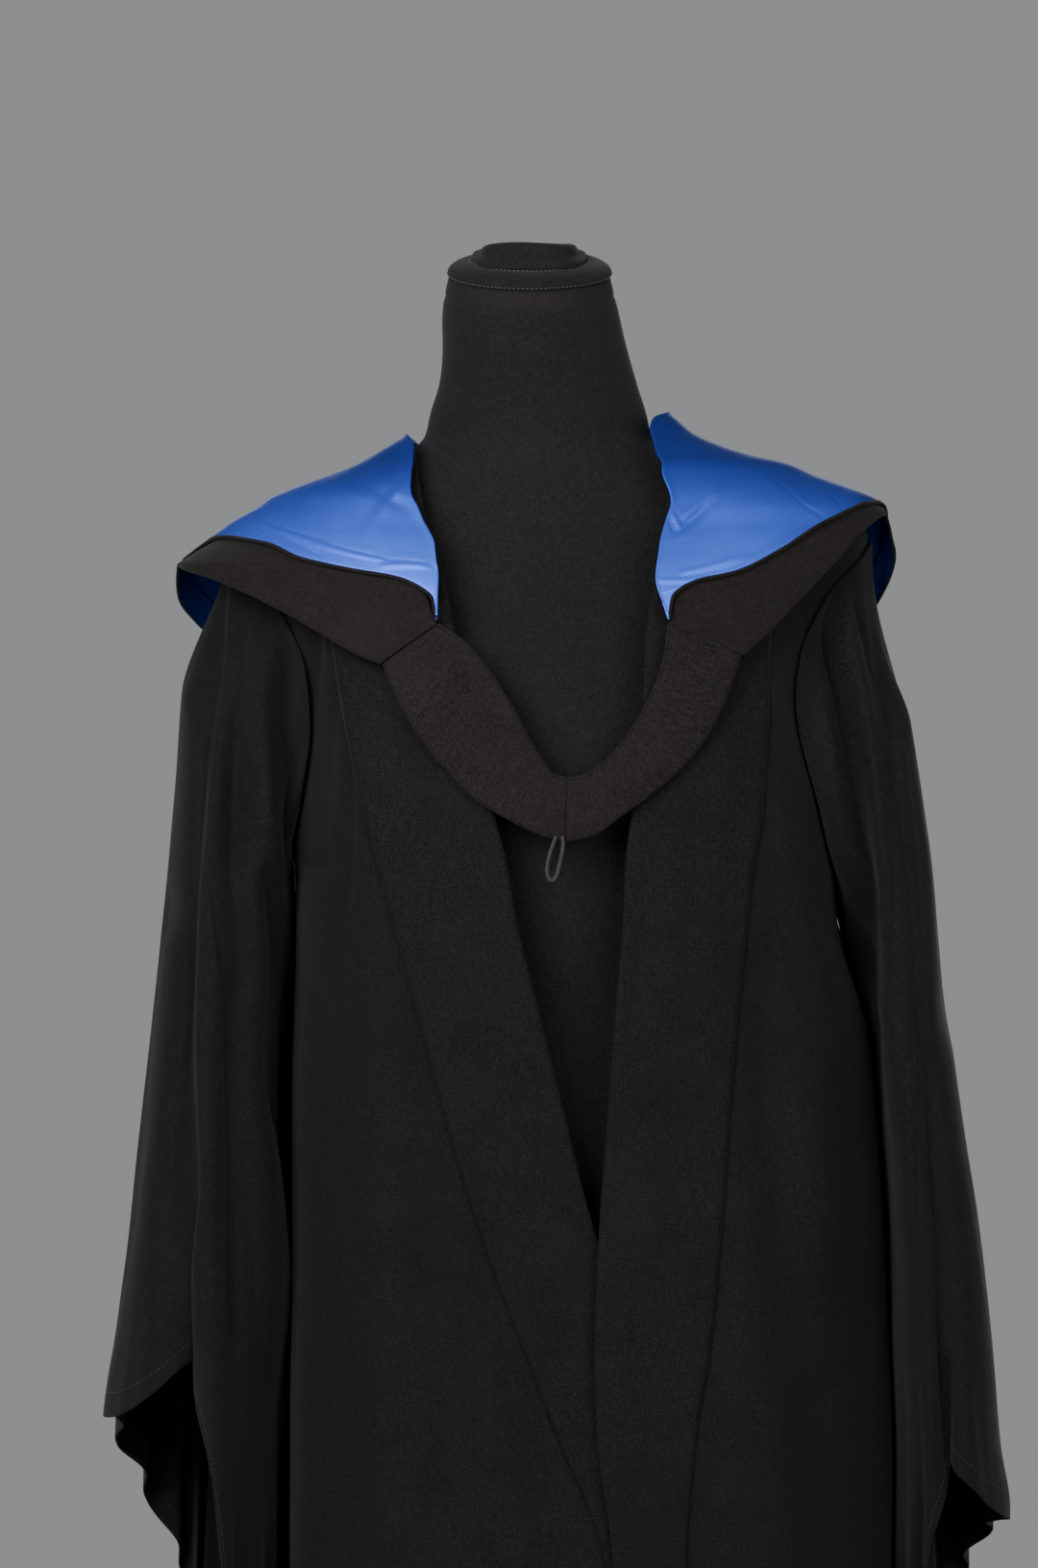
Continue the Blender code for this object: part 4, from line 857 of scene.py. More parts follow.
def cordlike(name, path, radius, finish, sides=8, step=0.0015):
    """A round cord or piping along a path."""
    spots, ways = evenly(path, step)
    line = bmesh.new()
    bmesh.ops.create_grid(line, x_segments=sides, y_segments=len(spots) - 1, size=0.5)
    flat = np.array([point.co[:2] for point in line.verts]) + 0.5
    level = np.rint(flat[:, 1] * (len(spots) - 1)).astype(int)
    angle = flat[:, 0] * 2 * np.pi
    up = np.array([0.0, 0.0, 1.0])
    side = np.cross(ways, up)
    thin = np.linalg.norm(side, axis=1) < 0.2
    side[thin] = np.cross(ways[thin], np.array([0.0, 1.0, 0.0]))
    side /= np.linalg.norm(side, axis=1, keepdims=True)
    for k in range(1, len(side)):
        if side[k] @ side[k - 1] < 0:
            side[k] = -side[k]
    other = np.cross(ways, side)
    ends = np.minimum(level, len(spots) - 1 - level)
    slim = radius * np.where(ends == 0, 0.35, 1.0)
    chart = line.loops.layers.uv.new("cloth")
    for face in line.faces:
        face.smooth = True
        for corner in face.loops:
            u, v = flat[corner.vert.index]
            corner[chart].uv = (u * 2 * math.pi * radius, v * (len(spots) - 1) * step)
    around = np.cos(angle)[:, None] * side[level] + np.sin(angle)[:, None] * other[level]
    for point, spot in zip(line.verts, spots[level] + around * slim[:, None]):
        point.co = spot
    bmesh.ops.remove_doubles(line, verts=line.verts, dist=1e-7)
    bmesh.ops.holes_fill(line, edges=[edge for edge in line.edges if edge.is_boundary])
    bmesh.ops.recalc_face_normals(line, faces=line.faces)
    return finished(name, line, [finish])


# ---- finishes
class Wire:
    """A value in a material, so that patterns are written as sums and products."""

    def __init__(self, finish, socket):
        self.finish, self.socket = finish, socket

    def with_math(self, operation, first, second=0.0):
        return self.finish.node("Math", {"operation": operation}, {0: first, 1: second})

    def __add__(self, other):
        return self.with_math("ADD", self, other)

    __radd__ = __add__

    def __sub__(self, other):
        return self.with_math("SUBTRACT", self, other)

    def __rsub__(self, other):
        return self.with_math("SUBTRACT", other, self)

    def __mul__(self, other):
        return self.with_math("MULTIPLY", self, other)

    __rmul__ = __mul__

    def __truediv__(self, other):
        return self.with_math("DIVIDE", self, other)

    def __pow__(self, other):
        return self.with_math("POWER", self, other)

    def sine(self):
        return self.with_math("SINE", self)

    def steps(self, low, high, start=0.0, end=1.0):
        """This value stretched from low..high to start..end, and held there."""
        settings = {"clamp": True}
        return self.finish.node("MapRange", settings, {0: self, 1: low, 2: high, 3: start, 4: end})


class Finish:
    """A procedural material, built from nodes."""

    def __init__(self, name):
        self.material = bpy.data.materials.new(name)
        self.material.use_nodes = True
        self.tree = self.material.node_tree
        self.tree.nodes.clear()

    def node(self, kind, settings=None, values=None, out=0):
        made = self.tree.nodes.new("ShaderNode" + kind)
        for key, value in (settings or {}).items():
            if key == "stops":
                ramp = made.color_ramp
                for k, (place, colour) in enumerate(value):
                    stop = ramp.elements[k] if k < 2 else ramp.elements.new(place)
                    stop.position, stop.color = place, (*colour, 1.0)
            else:
                setattr(made, key, value)
        for key, value in (values or {}).items():
            if isinstance(value, Wire):
                self.tree.links.new(value.socket, made.inputs[key])
            elif isinstance(value, tuple) and len(value) == 3 and made.inputs[key].type == "RGBA":
                made.inputs[key].default_value = (*value, 1.0)
            else:
                made.inputs[key].default_value = value
        return Wire(self, made.outputs[out]) if len(made.outputs) else None

    def mixed(self, share, low, high):
        """A colour between two, by a share."""
        return self.node("Mix", {"data_type": "RGBA"}, {0: share, 6: low, 7: high}, out=2)

    def cloth_map(self):
        return self.node("UVMap", {"uv_map": "cloth"})

    def place_map(self):
        return self.node("TexCoord", out=3)

    def stretched(self, where, scale):
        return self.node("Mapping", {}, {"Vector": where, "Scale": scale})

    def noise(self, where, scale, detail=2.0, rough=0.5):
        values = {"Vector": where, "Scale": scale, "Detail": detail, "Roughness": rough}
        return self.node("TexNoise", {}, values)

    def parts_of(self, where):
        split = self.node("SeparateXYZ", {}, {0: where})
        node = split.socket.node
        return [Wire(self, node.outputs[k]) for k in range(3)]

    def bumped(self, height, distance, strength=1.0, under=None):
        values = {"Strength": strength, "Distance": distance, "Height": height}
        if under is not None:
            values["Normal"] = under
        return self.node("Bump", {}, values)

    def shown(self, colour, rough, normal, **constants):
        values = {"Base Color": colour, "Roughness": rough, "Normal": normal}
        values.update({key.replace("_", " "): value for key, value in constants.items()})
        shader = self.node("BsdfPrincipled", {}, values)
        self.node("OutputMaterial", {}, {"Surface": shader})
        return self.material

    def cloth_map_x(self):
        return self.parts_of(self.cloth_map())[0]


def woven(name, dark, light, tint, thread, rough, sheen, slub=0.0, bump=1.0):
    """Closely woven black cloth: fine crossing threads, grain, and slow changes of tone."""
    f = Finish(name)
    where = f.cloth_map()
    across, down, _ = f.parts_of(where)
    turn = 2 * math.pi / thread
    warp = (across * turn + down * (turn * 0.25)).sine()
    weft = (down * turn).sine()
    weave = (warp * weft) * 0.5 + 0.5
    grain = f.noise(where, 820.0, 1.0)
    slubs = f.noise(f.stretched(where, (1500.0, 90.0, 1.0)), 1.0, 2.0)
    fluff = f.noise(f.place_map(), 420.0, 2.0, 0.6)
    cloudy = f.noise(f.place_map(), 7.0, 3.0)
    worn = f.noise(f.place_map(), 31.0, 2.0)
    tone = (grain * 0.5 + slubs * (0.2 + slub) + fluff * 0.3).steps(0.40 + slub * 0.45, 0.60 + slub * 0.55)
    colour = f.mixed(tone, dark, light)
    colour = f.mixed(cloudy.steps(0.35, 0.7) * 0.45, colour, tint)
    sheen_spots = (worn * cloudy).steps(0.2, 0.42, rough - 0.07, rough + 0.08)
    low = f.bumped(fluff, 0.0009, 0.10 * bump)
    mid = f.bumped(grain + slubs * (0.5 + slub), 0.0004, 0.16 * bump, low)
    normal = f.bumped(weave, 0.00012, 0.35 * bump, mid)
    return f.shown(
        colour, sheen_spots, normal, Sheen_Weight=sheen, Sheen_Roughness=0.5, Specular_IOR_Level=0.09
    )


def satin_cloth():
    """Bright blue satin: long floats that catch the light, fine lines and a soft sheen; its colour has painted
    shade towards the top, far sides and tips and painted light towards its foot.
    """
    f = Finish("blue_satin")
    where = f.cloth_map()
    floats = f.noise(f.stretched(where, (420.0, 2600.0, 1.0)), 1.0, 2.0)
    fine = f.noise(where, 900.0, 2.0)
    cloudy = f.noise(f.place_map(), 14.0, 3.0)
    crumple = f.noise(f.stretched(f.place_map(), (60.0, 60.0, 110.0)), 1.0, 2.0, 0.55)
    tone = (floats * 0.35 + fine * 0.25 + cloudy * 0.4).steps(0.36, 0.64)
    x, y, z = f.parts_of(f.place_map())
    back = y.steps(-0.02, 0.04)
    # Painted light and shade: the satin runs from dark at its top to light at its foot, is darker at the far
    # sides, and is held at a middle tone on the back.
    painted_shade_sides = (x * x).steps(0.022, 0.044)
    painted_light_by_height = z.steps(1.472, 1.384) * (1 - painted_shade_sides * 0.45) * (1 - back) + back * 0.42
    painted_light_low_tone = f.mixed(painted_light_by_height, (0.008, 0.018, 0.140), (0.048, 0.116, 0.620))
    painted_light_high_tone = f.mixed(painted_light_by_height, (0.014, 0.030, 0.205), (0.072, 0.168, 0.860))
    colour = f.mixed(tone, painted_light_low_tone, painted_light_high_tone)
    # Painted shade: dark navy at the hood's tips, where the inside of the hood lies in shade.
    painted_shade_tips = (x * x).steps(0.0445, 0.0500) * (1 - back * 0.5)
    colour = f.mixed(painted_shade_tips * 0.85, colour, (0.006, 0.012, 0.070))
    rough = (floats * 0.5 + cloudy * 0.5).steps(0.35, 0.65, 0.42, 0.52)
    streaks = f.noise(f.stretched(f.place_map(), (150.0, 60.0, 480.0)), 1.0, 3.0, 0.6)
    low = f.bumped(crumple, 0.0016, 0.16)
    low = f.bumped(streaks, 0.0006, 0.22, low)
    normal = f.bumped(floats + fine * 0.5, 0.00014, 0.30, low)
    return f.shown(
        colour,
        rough,
        normal,
        Metallic=0.42,
        Specular_Tint=(0.30, 0.50, 1.0, 1.0),
        Specular_IOR_Level=0.14,
    )


def jersey_cover():
    """Stretched knit cover of the form, faded a little round its top."""
    f = Finish("form_jersey")
    where = f.place_map()
    x, y, z = f.parts_of(where)
    ribs = (f.cloth_map_x() * (2 * math.pi / 0.0016)).sine() * 0.5 + 0.5
    grain = f.noise(where, 900.0, 2.0)
    cloudy = f.noise(where, 9.0, 3.0)
    pilling = f.noise(where, 320.0, 3.0, 0.7)
    level = z - (y + 0.016) * 0.268
    band = level.steps(1.5770, 1.5850) * (1 - level.steps(1.5915, 1.5945)) * y.steps(-0.030, -0.062)
    fade = band * (0.45 + cloudy.steps(0.35, 0.6) * 0.55)
    fade = fade + level.steps(1.594, 1.612) * cloudy.steps(0.42, 0.62) * 0.5
    tone = (grain * 0.6 + pilling * 0.4).steps(0.36, 0.66)
    colour = f.mixed(tone, (0.0034, 0.0034, 0.0039), (0.0100, 0.0100, 0.0112))
    colour = f.mixed(fade * 0.55, colour, (0.0150, 0.0118, 0.0098))
    rough = cloudy.steps(0.3, 0.7, 0.78, 0.9)
    low = f.bumped(pilling, 0.0007, 0.14)
    normal = f.bumped(ribs * 0.6 + grain * 0.6, 0.0002, 0.3, low)
    return f.shown(colour, rough, normal, Sheen_Weight=0.05, Sheen_Roughness=0.5, Specular_IOR_Level=0.10)


def coated_metal():
    """Black powder coat, lightly rubbed."""
    f = Finish("stand_coating")
    where = f.place_map()
    orange = f.noise(where, 620.0, 2.0)
    rubbed = f.noise(where, 24.0, 4.0, 0.65)
    scuffs = f.noise(f.stretched(where, (30.0, 30.0, 160.0)), 1.0, 3.0)
    colour = f.mixed(rubbed.steps(0.4, 0.7), (0.012, 0.012, 0.013), (0.026, 0.026, 0.028))
    rough = (rubbed * 0.6 + scuffs * 0.4).steps(0.35, 0.65, 0.32, 0.55)
    normal = f.bumped(orange, 0.00025, 0.25)
    return f.shown(colour, rough, normal, Specular_IOR_Level=0.5)


def thread_finish(name, colour, light):
    f = Finish(name)
    twist = f.noise(f.stretched(f.place_map(), (2600.0, 2600.0, 2600.0)), 1.0, 2.0)
    mixed = f.mixed(twist.steps(0.35, 0.65), colour, light)
    rough = twist.steps(0.3, 0.7, 0.55, 0.75)
    return f.shown(mixed, rough, f.bumped(twist, 0.0001, 0.4), Sheen_Weight=0.2, Specular_IOR_Level=0.35)


def floor_finish():
    f = Finish("pale_floor")
    where = f.place_map()
    cloudy = f.noise(where, 1.4, 3.0)
    fine = f.noise(where, 160.0, 2.0)
    colour = f.mixed(cloudy.steps(0.3, 0.7), (0.60, 0.605, 0.61), (0.64, 0.645, 0.65))
    rough = fine.steps(0.3, 0.7, 0.6, 0.75)
    return f.shown(colour, rough, f.bumped(fine, 0.0004, 0.1), Specular_IOR_Level=0.3)


GOWN_CLOTH = woven(
    "gown_cloth",
    dark=(0.0010, 0.0009, 0.0010),
    light=(0.0082, 0.0071, 0.0078),
    tint=(0.0058, 0.0049, 0.0048),
    thread=0.00062,
    rough=0.80,
    sheen=0.03,
    slub=0.10,
    bump=1.7,
)
HOOD_CLOTH = woven(
    "hood_cloth",
    dark=(0.0024, 0.0020, 0.0019),
    light=(0.0125, 0.0105, 0.0096),
    tint=(0.0098, 0.0078, 0.0066),
    thread=0.00080,
    rough=0.82,
    sheen=0.04,
    slub=0.25,
    bump=1.3,
)
SATIN = satin_cloth()
JERSEY = jersey_cover()
METAL = coated_metal()
THREAD = thread_finish("black_thread", (0.004, 0.004, 0.004), (0.013, 0.0125, 0.012))
PALE_THREAD = thread_finish("grey_thread", (0.020, 0.019, 0.018), (0.070, 0.065, 0.061))


def worn(piece, node, slot, held, rests_on, size):
    """Hides the solid that a cloth piece stands for. Its slot, held, rests_on and size arguments are not used."""
    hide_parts(node)


# ---- the gown's body
# Thickness of the finished walls, lift of the stitches, and how far along each wall its hem row lies.
THIN = 0.0011
HEAVY = 0.0016
SATIN_THICK = 0.0014
STITCH_LIFT = 0.0007
BODY_HEM_ROW = 0.022
SLEEVE_HEM_ROW = 0.974
HEIGHTS_V = [0.0, 0.86, 1.0]
HEIGHTS_Z = [HEM_Z, SHOULDER_Z, 1.4775]
BANDS = {-1: columns(BAND_COLUMNS, FACING_LEFT_ROWS), 1: columns(BAND_COLUMNS, FACING_RIGHT_ROWS)}


ROLL_OUT = {-1: 0.0030, 1: 0.0145}


def front_place(side, out=CLOTH / 2):
    rows = FRONT_RIGHT_FOLDS if side > 0 else FRONT_LEFT_FOLDS
    band = BANDS[side]

    def place(u, v):
        z = np.interp(v, HEIGHTS_V, HEIGHTS_Z)
        edge, inner = curve(band["z"], band["outer"], z), curve(band["z"], band["inner"], z)
        lap = edge - side * np.minimum(FACING_LAP, 0.5 * np.abs(edge - inner))
        first = angle_at(GOWN, lap, z)
        final = side * np.where(z < SHOULDER_Z, armhole_angle(z), 90.0)
        angle = first + (final - first) * u
        base = section_point(GOWN, angle, z)
        x = base[:, 0]
        free = ease((np.abs(angle - first) - 3) / 8)
        rise = (hanging_folds(rows, x, z) + sway(x, z, 0.0006, 2.0 + side)) * free * ease((1.40 - z) / 0.04)
        lift = overlap_out(x, z) if side > 0 else 0.0
        laid_at = gown_point(angle, z, out + lift + rise)
        turn = np.abs(angle)
        lean_out = np.exp(-(((turn - 70.0) / 13.0) ** 2)) * ease((90.0 - turn) / 14.0)
        starts = 1.17 if side > 0 else 1.13
        laid_at[:, 0] += side * ROLL_OUT[side] * lean_out * ease((starts - z) / 0.09) * ease((z - HEM_Z) / 0.3)
        sewn = (u > 0.999) & ((z <= UNDERARM_Z) | (z >= SHOULDER_Z))
        laid_at[:, 1] -= sewn * GAP / 2
        return laid_at

    return place


def band_place(side, out=CLOTH * 1.5 + GAP):
    band = BANDS[side]

    def place(u, v):
        z = np.interp(v, HEIGHTS_V, HEIGHTS_Z)
        edge, inner = curve(band["z"], band["outer"], z), curve(band["z"], band["inner"], z)
        x = inner + (edge - inner) * u
        lift = overlap_out(x, z) if side > 0 else 0.0
        wide = np.abs(edge - inner)
        near = np.minimum(u, 1 - u) * wide
        outer = np.exp(-(((1 - u) * wide / 0.0050) ** 2))
        roll = -0.0005 * np.exp(-((near / 0.0014) ** 2)) + (0.0 if side > 0 else 0.0011) * outer
        rise = (crease_rise(BAND_CREASES, x, z) + sway(x, z, 0.00022, 5.0 + side)) * ease(near / 0.012)
        laid_at = gown_point(angle_at(GOWN, x, z), z, out + lift + roll + rise)
        forward = np.minimum(laid_at[:, 1], -GAP)
        laid_at[:, 1] = np.where(z >= SHOULDER_Z, forward, laid_at[:, 1])
        return laid_at

    return place


# How far the back panel fills out beside each sleeve, and at what height.
BACK_FULLER = {-1: 0.0060, 1: 0.0074}
BACK_FULLEST_Z = {-1: 1.132, 1: 1.124}


def back_place(out=CLOTH / 2):
    def place(u, v):
        z = np.interp(v, HEIGHTS_V, HEIGHTS_Z)
        side = np.where(z < SHOULDER_Z, armhole_angle(z), 90.0)
        angle = 180.0 - side + 2 * side * u
        base = section_point(GOWN, angle, z)
        x = base[:, 0]
        rise = (crease_rise(BACK_CREASES, x, z) + sway(x, z, 0.0006, 8.0)) * ease((1.34 - z) / 0.06)
        rise = rise * ease(np.minimum(u, 1 - u) / 0.03)
        laid_at = gown_point(angle, z, out + rise)
        sewn = ((u < 0.001) | (u > 0.999)) & ((z <= UNDERARM_Z) | (z >= SHOULDER_Z))
        laid_at[:, 1] += sewn * GAP / 2
        turn = 180.0 - np.abs(180.0 - angle)
        full = ease((turn - 92) / 14) * ease((150 - turn) / 30) * ease(np.minimum(u, 1 - u) / 0.03)
        most = np.where(angle < 180.0, BACK_FULLER[1], BACK_FULLER[-1])
        level = np.where(angle < 180.0, BACK_FULLEST_Z[1], BACK_FULLEST_Z[-1])
        fuller = most * np.exp(-(((z - level) / 0.040) ** 2)) + 0.002 * ease((1.14 - z) / 0.08)
        laid_at[:, 0] += np.sign(180.0 - angle) * full * fuller
        return laid_at

    return place


def gown_body():
    for side, word in ((-1, "left"), (1, "right")):
        piece = laid(f"cloth_front_{word}", front_place(side), 68, 284, (0.42, 1.20), THIN, [GOWN_CLOTH])
        worn(piece, f"gown_front_{word}", "gown_cloth", "hung", ["form_torso"], f"front_{word}")
        piece = laid(f"cloth_band_{word}", band_place(side), 26, 300, (0.085, 1.22), HEAVY, [GOWN_CLOTH])
        worn(piece, f"gown_band_{word}", "gown_cloth", "hung", [f"cloth_front_{word}"], f"band_{word}")
        hem = front_place(side, CLOTH / 2 + STITCH_LIFT)
        us = np.linspace(0.02, 0.98, 200)
        row = stitches(f"hem_stitches_front_{word}", [hem(us, us * 0 + BODY_HEM_ROW)], THREAD)
    piece = laid("cloth_back", back_place(), 144, 244, (0.95, 1.22), THIN, [GOWN_CLOTH])
    worn(piece, "gown_back", "gown_cloth", "hung", ["form_torso"], "back")
    hem = back_place(CLOTH / 2 + STITCH_LIFT)
    us = np.linspace(0.01, 0.99, 500)
    stitches("hem_stitches_back", [hem(us, us * 0 + BODY_HEM_ROW)], THREAD)


# ---- sleeves
# How far each sleeve is moved in towards the body near its waist.
SLEEVE_CLOSER = {-1: 0.0058, 1: 0.0055}


def waist_bell(z):
    """Where the body's side and the sleeve lie closest together."""
    return np.exp(-(((z - 1.140) / 0.046) ** 2))


def sleeve_place(side, out=0.0):
    tube = Sleeve(side)
    rows = SLEEVE_RIGHT_FOLDS if side > 0 else SLEEVE_LEFT_FOLDS

    def place(u, v):
        fold = u * tube.count
        s = np.interp(v, [0.0, 0.10, 0.30, 1.0], [0.0, 0.06, 0.22, 1.0])
        base = tube.point(fold, s)
        normal = outward(tube.point, fold, s, 0.06, 0.004)
        axis = np.stack([side * np.interp(base[:, 2], [0.6, 1.4], [0.262, 0.200]), 0 * fold, base[:, 2]], axis=-1)
        way = np.sign(((base - axis) * normal).sum() + 1e-12)
        x, y, z = base[:, 0], base[:, 1], base[:, 2]
        front = ease((-y - 0.012) / 0.032)
        back = ease((y - 0.004) / 0.02)
        rise = hanging_folds(rows, x, z) * front + crease_rise(SLEEVE_BACK_CREASES, x, z) * back
        rise = (rise + sway(x + 2 * y, z, 0.0004, 11.0 + side)) * ease(s / 0.05)
        spots = base + normal * way * (rise + out)[:, None]
        inner = side * (axis[:, 0] - x)
        spots[:, 0] -= side * SLEEVE_CLOSER[side] * waist_bell(z) * ease((inner + 0.005) / 0.03)
        return spots

    return place


def sleeves():
    for side, word in ((-1, "left"), (1, "right")):
        place = sleeve_place(side)
        centre = (side * 0.23, 0.0)
        piece = laid(f"cloth_sleeve_{word}", place, 200, 184, (0.72, 0.78), THIN, [GOWN_CLOTH], True, centre)
        worn(piece, f"gown_sleeve_{word}", "gown_cloth", "hung", ["cloth_back"], f"sleeve_{word}")
        us = np.linspace(0, 1, 700)
        above = sleeve_place(side, STITCH_LIFT)
        within = sleeve_place(side, -STITCH_LIFT)
        rows = [above(us, us * 0 + SLEEVE_HEM_ROW), within(us, us * 0 + SLEEVE_HEM_ROW)]
        stitches(f"hem_stitches_sleeve_{word}", rows, THREAD)


# ---- hood
UNDER = -2 * CLOTH - HOOD_GAP


def strip_place(side, rows, out, creases, back_creases, roll_low, roll_high, calm=0.0):
    t = columns(EDGE_COLUMNS, rows)
    at = np.arange(len(rows), dtype=float)

    def place(u, v):
        where = u * (len(rows) - 1)
        low_a, high_a = curve(at, t["low_angle"], where), curve(at, t["high_angle"], where)
        low_z, high_z = curve(at, t["low_z"], where), curve(at, t["high_z"], where)
        angle = side * (low_a * (1 - v) + high_a * v)
        z = low_z * (1 - v) + high_z * v
        base = section_point(HOOD, angle, z)
        x, y = base[:, 0], base[:, 1]
        front = ease((-y - 0.002) / 0.02)
        back = ease((y - 0.01) / 0.03)
        rise = crease_rise(creases, x, z) * front + crease_rise(back_creases, x, z) * back
        rise = rise + sway(x, z * 3, calm, 17.0)
        wide = np.linalg.norm(
            section_point(HOOD, side * low_a, low_z) - section_point(HOOD, side * high_a, high_z), axis=-1
        )
        edge = ease(np.minimum(v, 1 - v) * wide / 0.008)
        roll = roll_low * np.exp(-((v * wide / 0.0016) ** 2))
        roll = roll + roll_high * np.exp(-(((1 - v) * wide / 0.0030) ** 2))
        laid_at = hood_point(angle, z, out + rise * (0.25 + 0.75 * edge) + roll)
        centre = u > 0.9999
        laid_at[:, 0] = np.where(centre, side * GAP / 2, laid_at[:, 0])
        return laid_at

    return place


def neckband_place(side, rows, out=UNDER + CLOTH / 2):
    t = columns(NECKBAND_COLUMNS, rows)
    at = np.arange(len(rows), dtype=float)

    def place(u, v):
        where = u * (len(rows) - 1)
        x = curve(at, t["outer_x"], where) * (1 - v) + curve(at, t["inner_x"], where) * v
        z = curve(at, t["outer_z"], where) * (1 - v) + curve(at, t["inner_z"], where) * v
        plump = 0.0007 * np.sin(np.pi * v) ** 0.6
        roll = -0.0007 * np.exp(-(((1 - v) / 0.03) ** 2)) - 0.0007 * np.exp(-((v / 0.03) ** 2))
        rise = crease_rise(HOOD_CREASES, x, z) * ease(np.minimum(v, 1 - v) / 0.2)
        laid_at = hood_point(angle_at(HOOD, x, z), z, out + plump + roll + rise)
        centre = (u > 0.999) if side < 0 else (u < 0.001)
        laid_at[:, 0] += side * GAP / 2 * centre
        return laid_at

    return place


def hood():
    for side, word, lining, shell, neck in (
        (-1, "left", LINING_LEFT_ROWS, SHELL_LEFT_ROWS, NECKBAND_LEFT_ROWS),
        (1, "right", LINING_RIGHT_ROWS, SHELL_RIGHT_ROWS, NECKBAND_RIGHT_ROWS),
    ):
        place = strip_place(side, lining, -CLOTH / 2, LINING_CREASES, HOOD_BACK_CREASES, -0.0004, 0.0007, 0.00025)
        piece = laid(f"satin_lining_{word}", place, 260, 56, (0.62, 0.30), SATIN_THICK, [SATIN, SATIN])
        worn(piece, f"hood_lining_{word}", "satin_lining", "draped", [f"cloth_hood_{word}"], f"lining_{word}")
        under = UNDER + CLOTH / 2
        place_shell = strip_place(side, shell, under, HOOD_CREASES, HOOD_BACK_CREASES, -0.0006, 0.0, 0.0002)
        piece = laid(f"cloth_hood_{word}", place_shell, 240, 28, (0.75, 0.10), HEAVY, [HOOD_CLOTH, SATIN])
        worn(piece, f"hood_shell_{word}", "hood_cloth", "draped", [f"cloth_front_{word}"], f"shell_{word}")
        place_neck = neckband_place(side, neck)
        piece = laid(f"cloth_neckband_{word}", place_neck, 110, 26, (0.19, 0.042), HEAVY, [HOOD_CLOTH])
        worn(piece, f"hood_neckband_{word}", "hood_cloth", "draped", [f"cloth_band_{word}"], f"neckband_{word}")
        us = np.linspace(0.0, 0.992, 400)
        edge = strip_place(side, lining, -CLOTH / 2 - 0.0002, (), (), 0.0, 0.0)(us, us * 0)
        piping = cordlike(f"piping_lining_{word}", edge, 0.00125, HOOD_CLOTH)
        us = np.linspace(0.01, 0.99, 160)
        edge = neckband_place(side, neck, UNDER + CLOTH + 0.0001)(us, us * 0 + 0.975)
        piping = cordlike(f"piping_neckband_{word}", edge, 0.0005, HOOD_CLOTH, 6)


# ---- the form and its stand
def form_place(u, v):
    rows = len(FORM["z"]) - 1
    z = curve(np.arange(rows + 1.0), FORM["z"], v * rows)
    wide, deep = curve(FORM["z"], FORM["wide"], z), curve(FORM["z"], FORM["deep"], z)
    pucker = 0.0004 * np.sin(u * 2 * np.pi * 74) * ease((z - 1.578) / 0.006)
    hem_line = -0.0007 * np.exp(-(((z - 1.5800) / 0.0016) ** 2))
    wide, deep = wide + pucker + hem_line, deep + pucker + hem_line
    square = 2.0 + 0.25 * ease((1.40 - z) / 0.1)
    a = 2 * np.pi * u
    s, c = np.sin(a), np.cos(a)
    reach = (np.abs(s) ** square + np.abs(c) ** square) ** (-1 / square)
    lean = np.radians(neck_lean(z))
    y = -deep * c * reach
    shift = -NECK_SHIFT * ease((z - 1.515) / 0.07)
    middle = curve(FORM["z"], FORM["centre_y"], z)
    return np.stack([shift - wide * s * reach, middle + y * np.cos(lean), z + y * np.sin(lean)], axis=-1)


def closed_ends(piece):
    """Fills the open ends of a tube made as a sheet."""
    shape = bmesh.new()
    shape.from_mesh(piece.data)
    bmesh.ops.holes_fill(shape, edges=[edge for edge in shape.edges if edge.is_boundary])
    bmesh.ops.recalc_face_normals(shape, faces=shape.faces)
    shape.to_mesh(piece.data)
    shape.free()


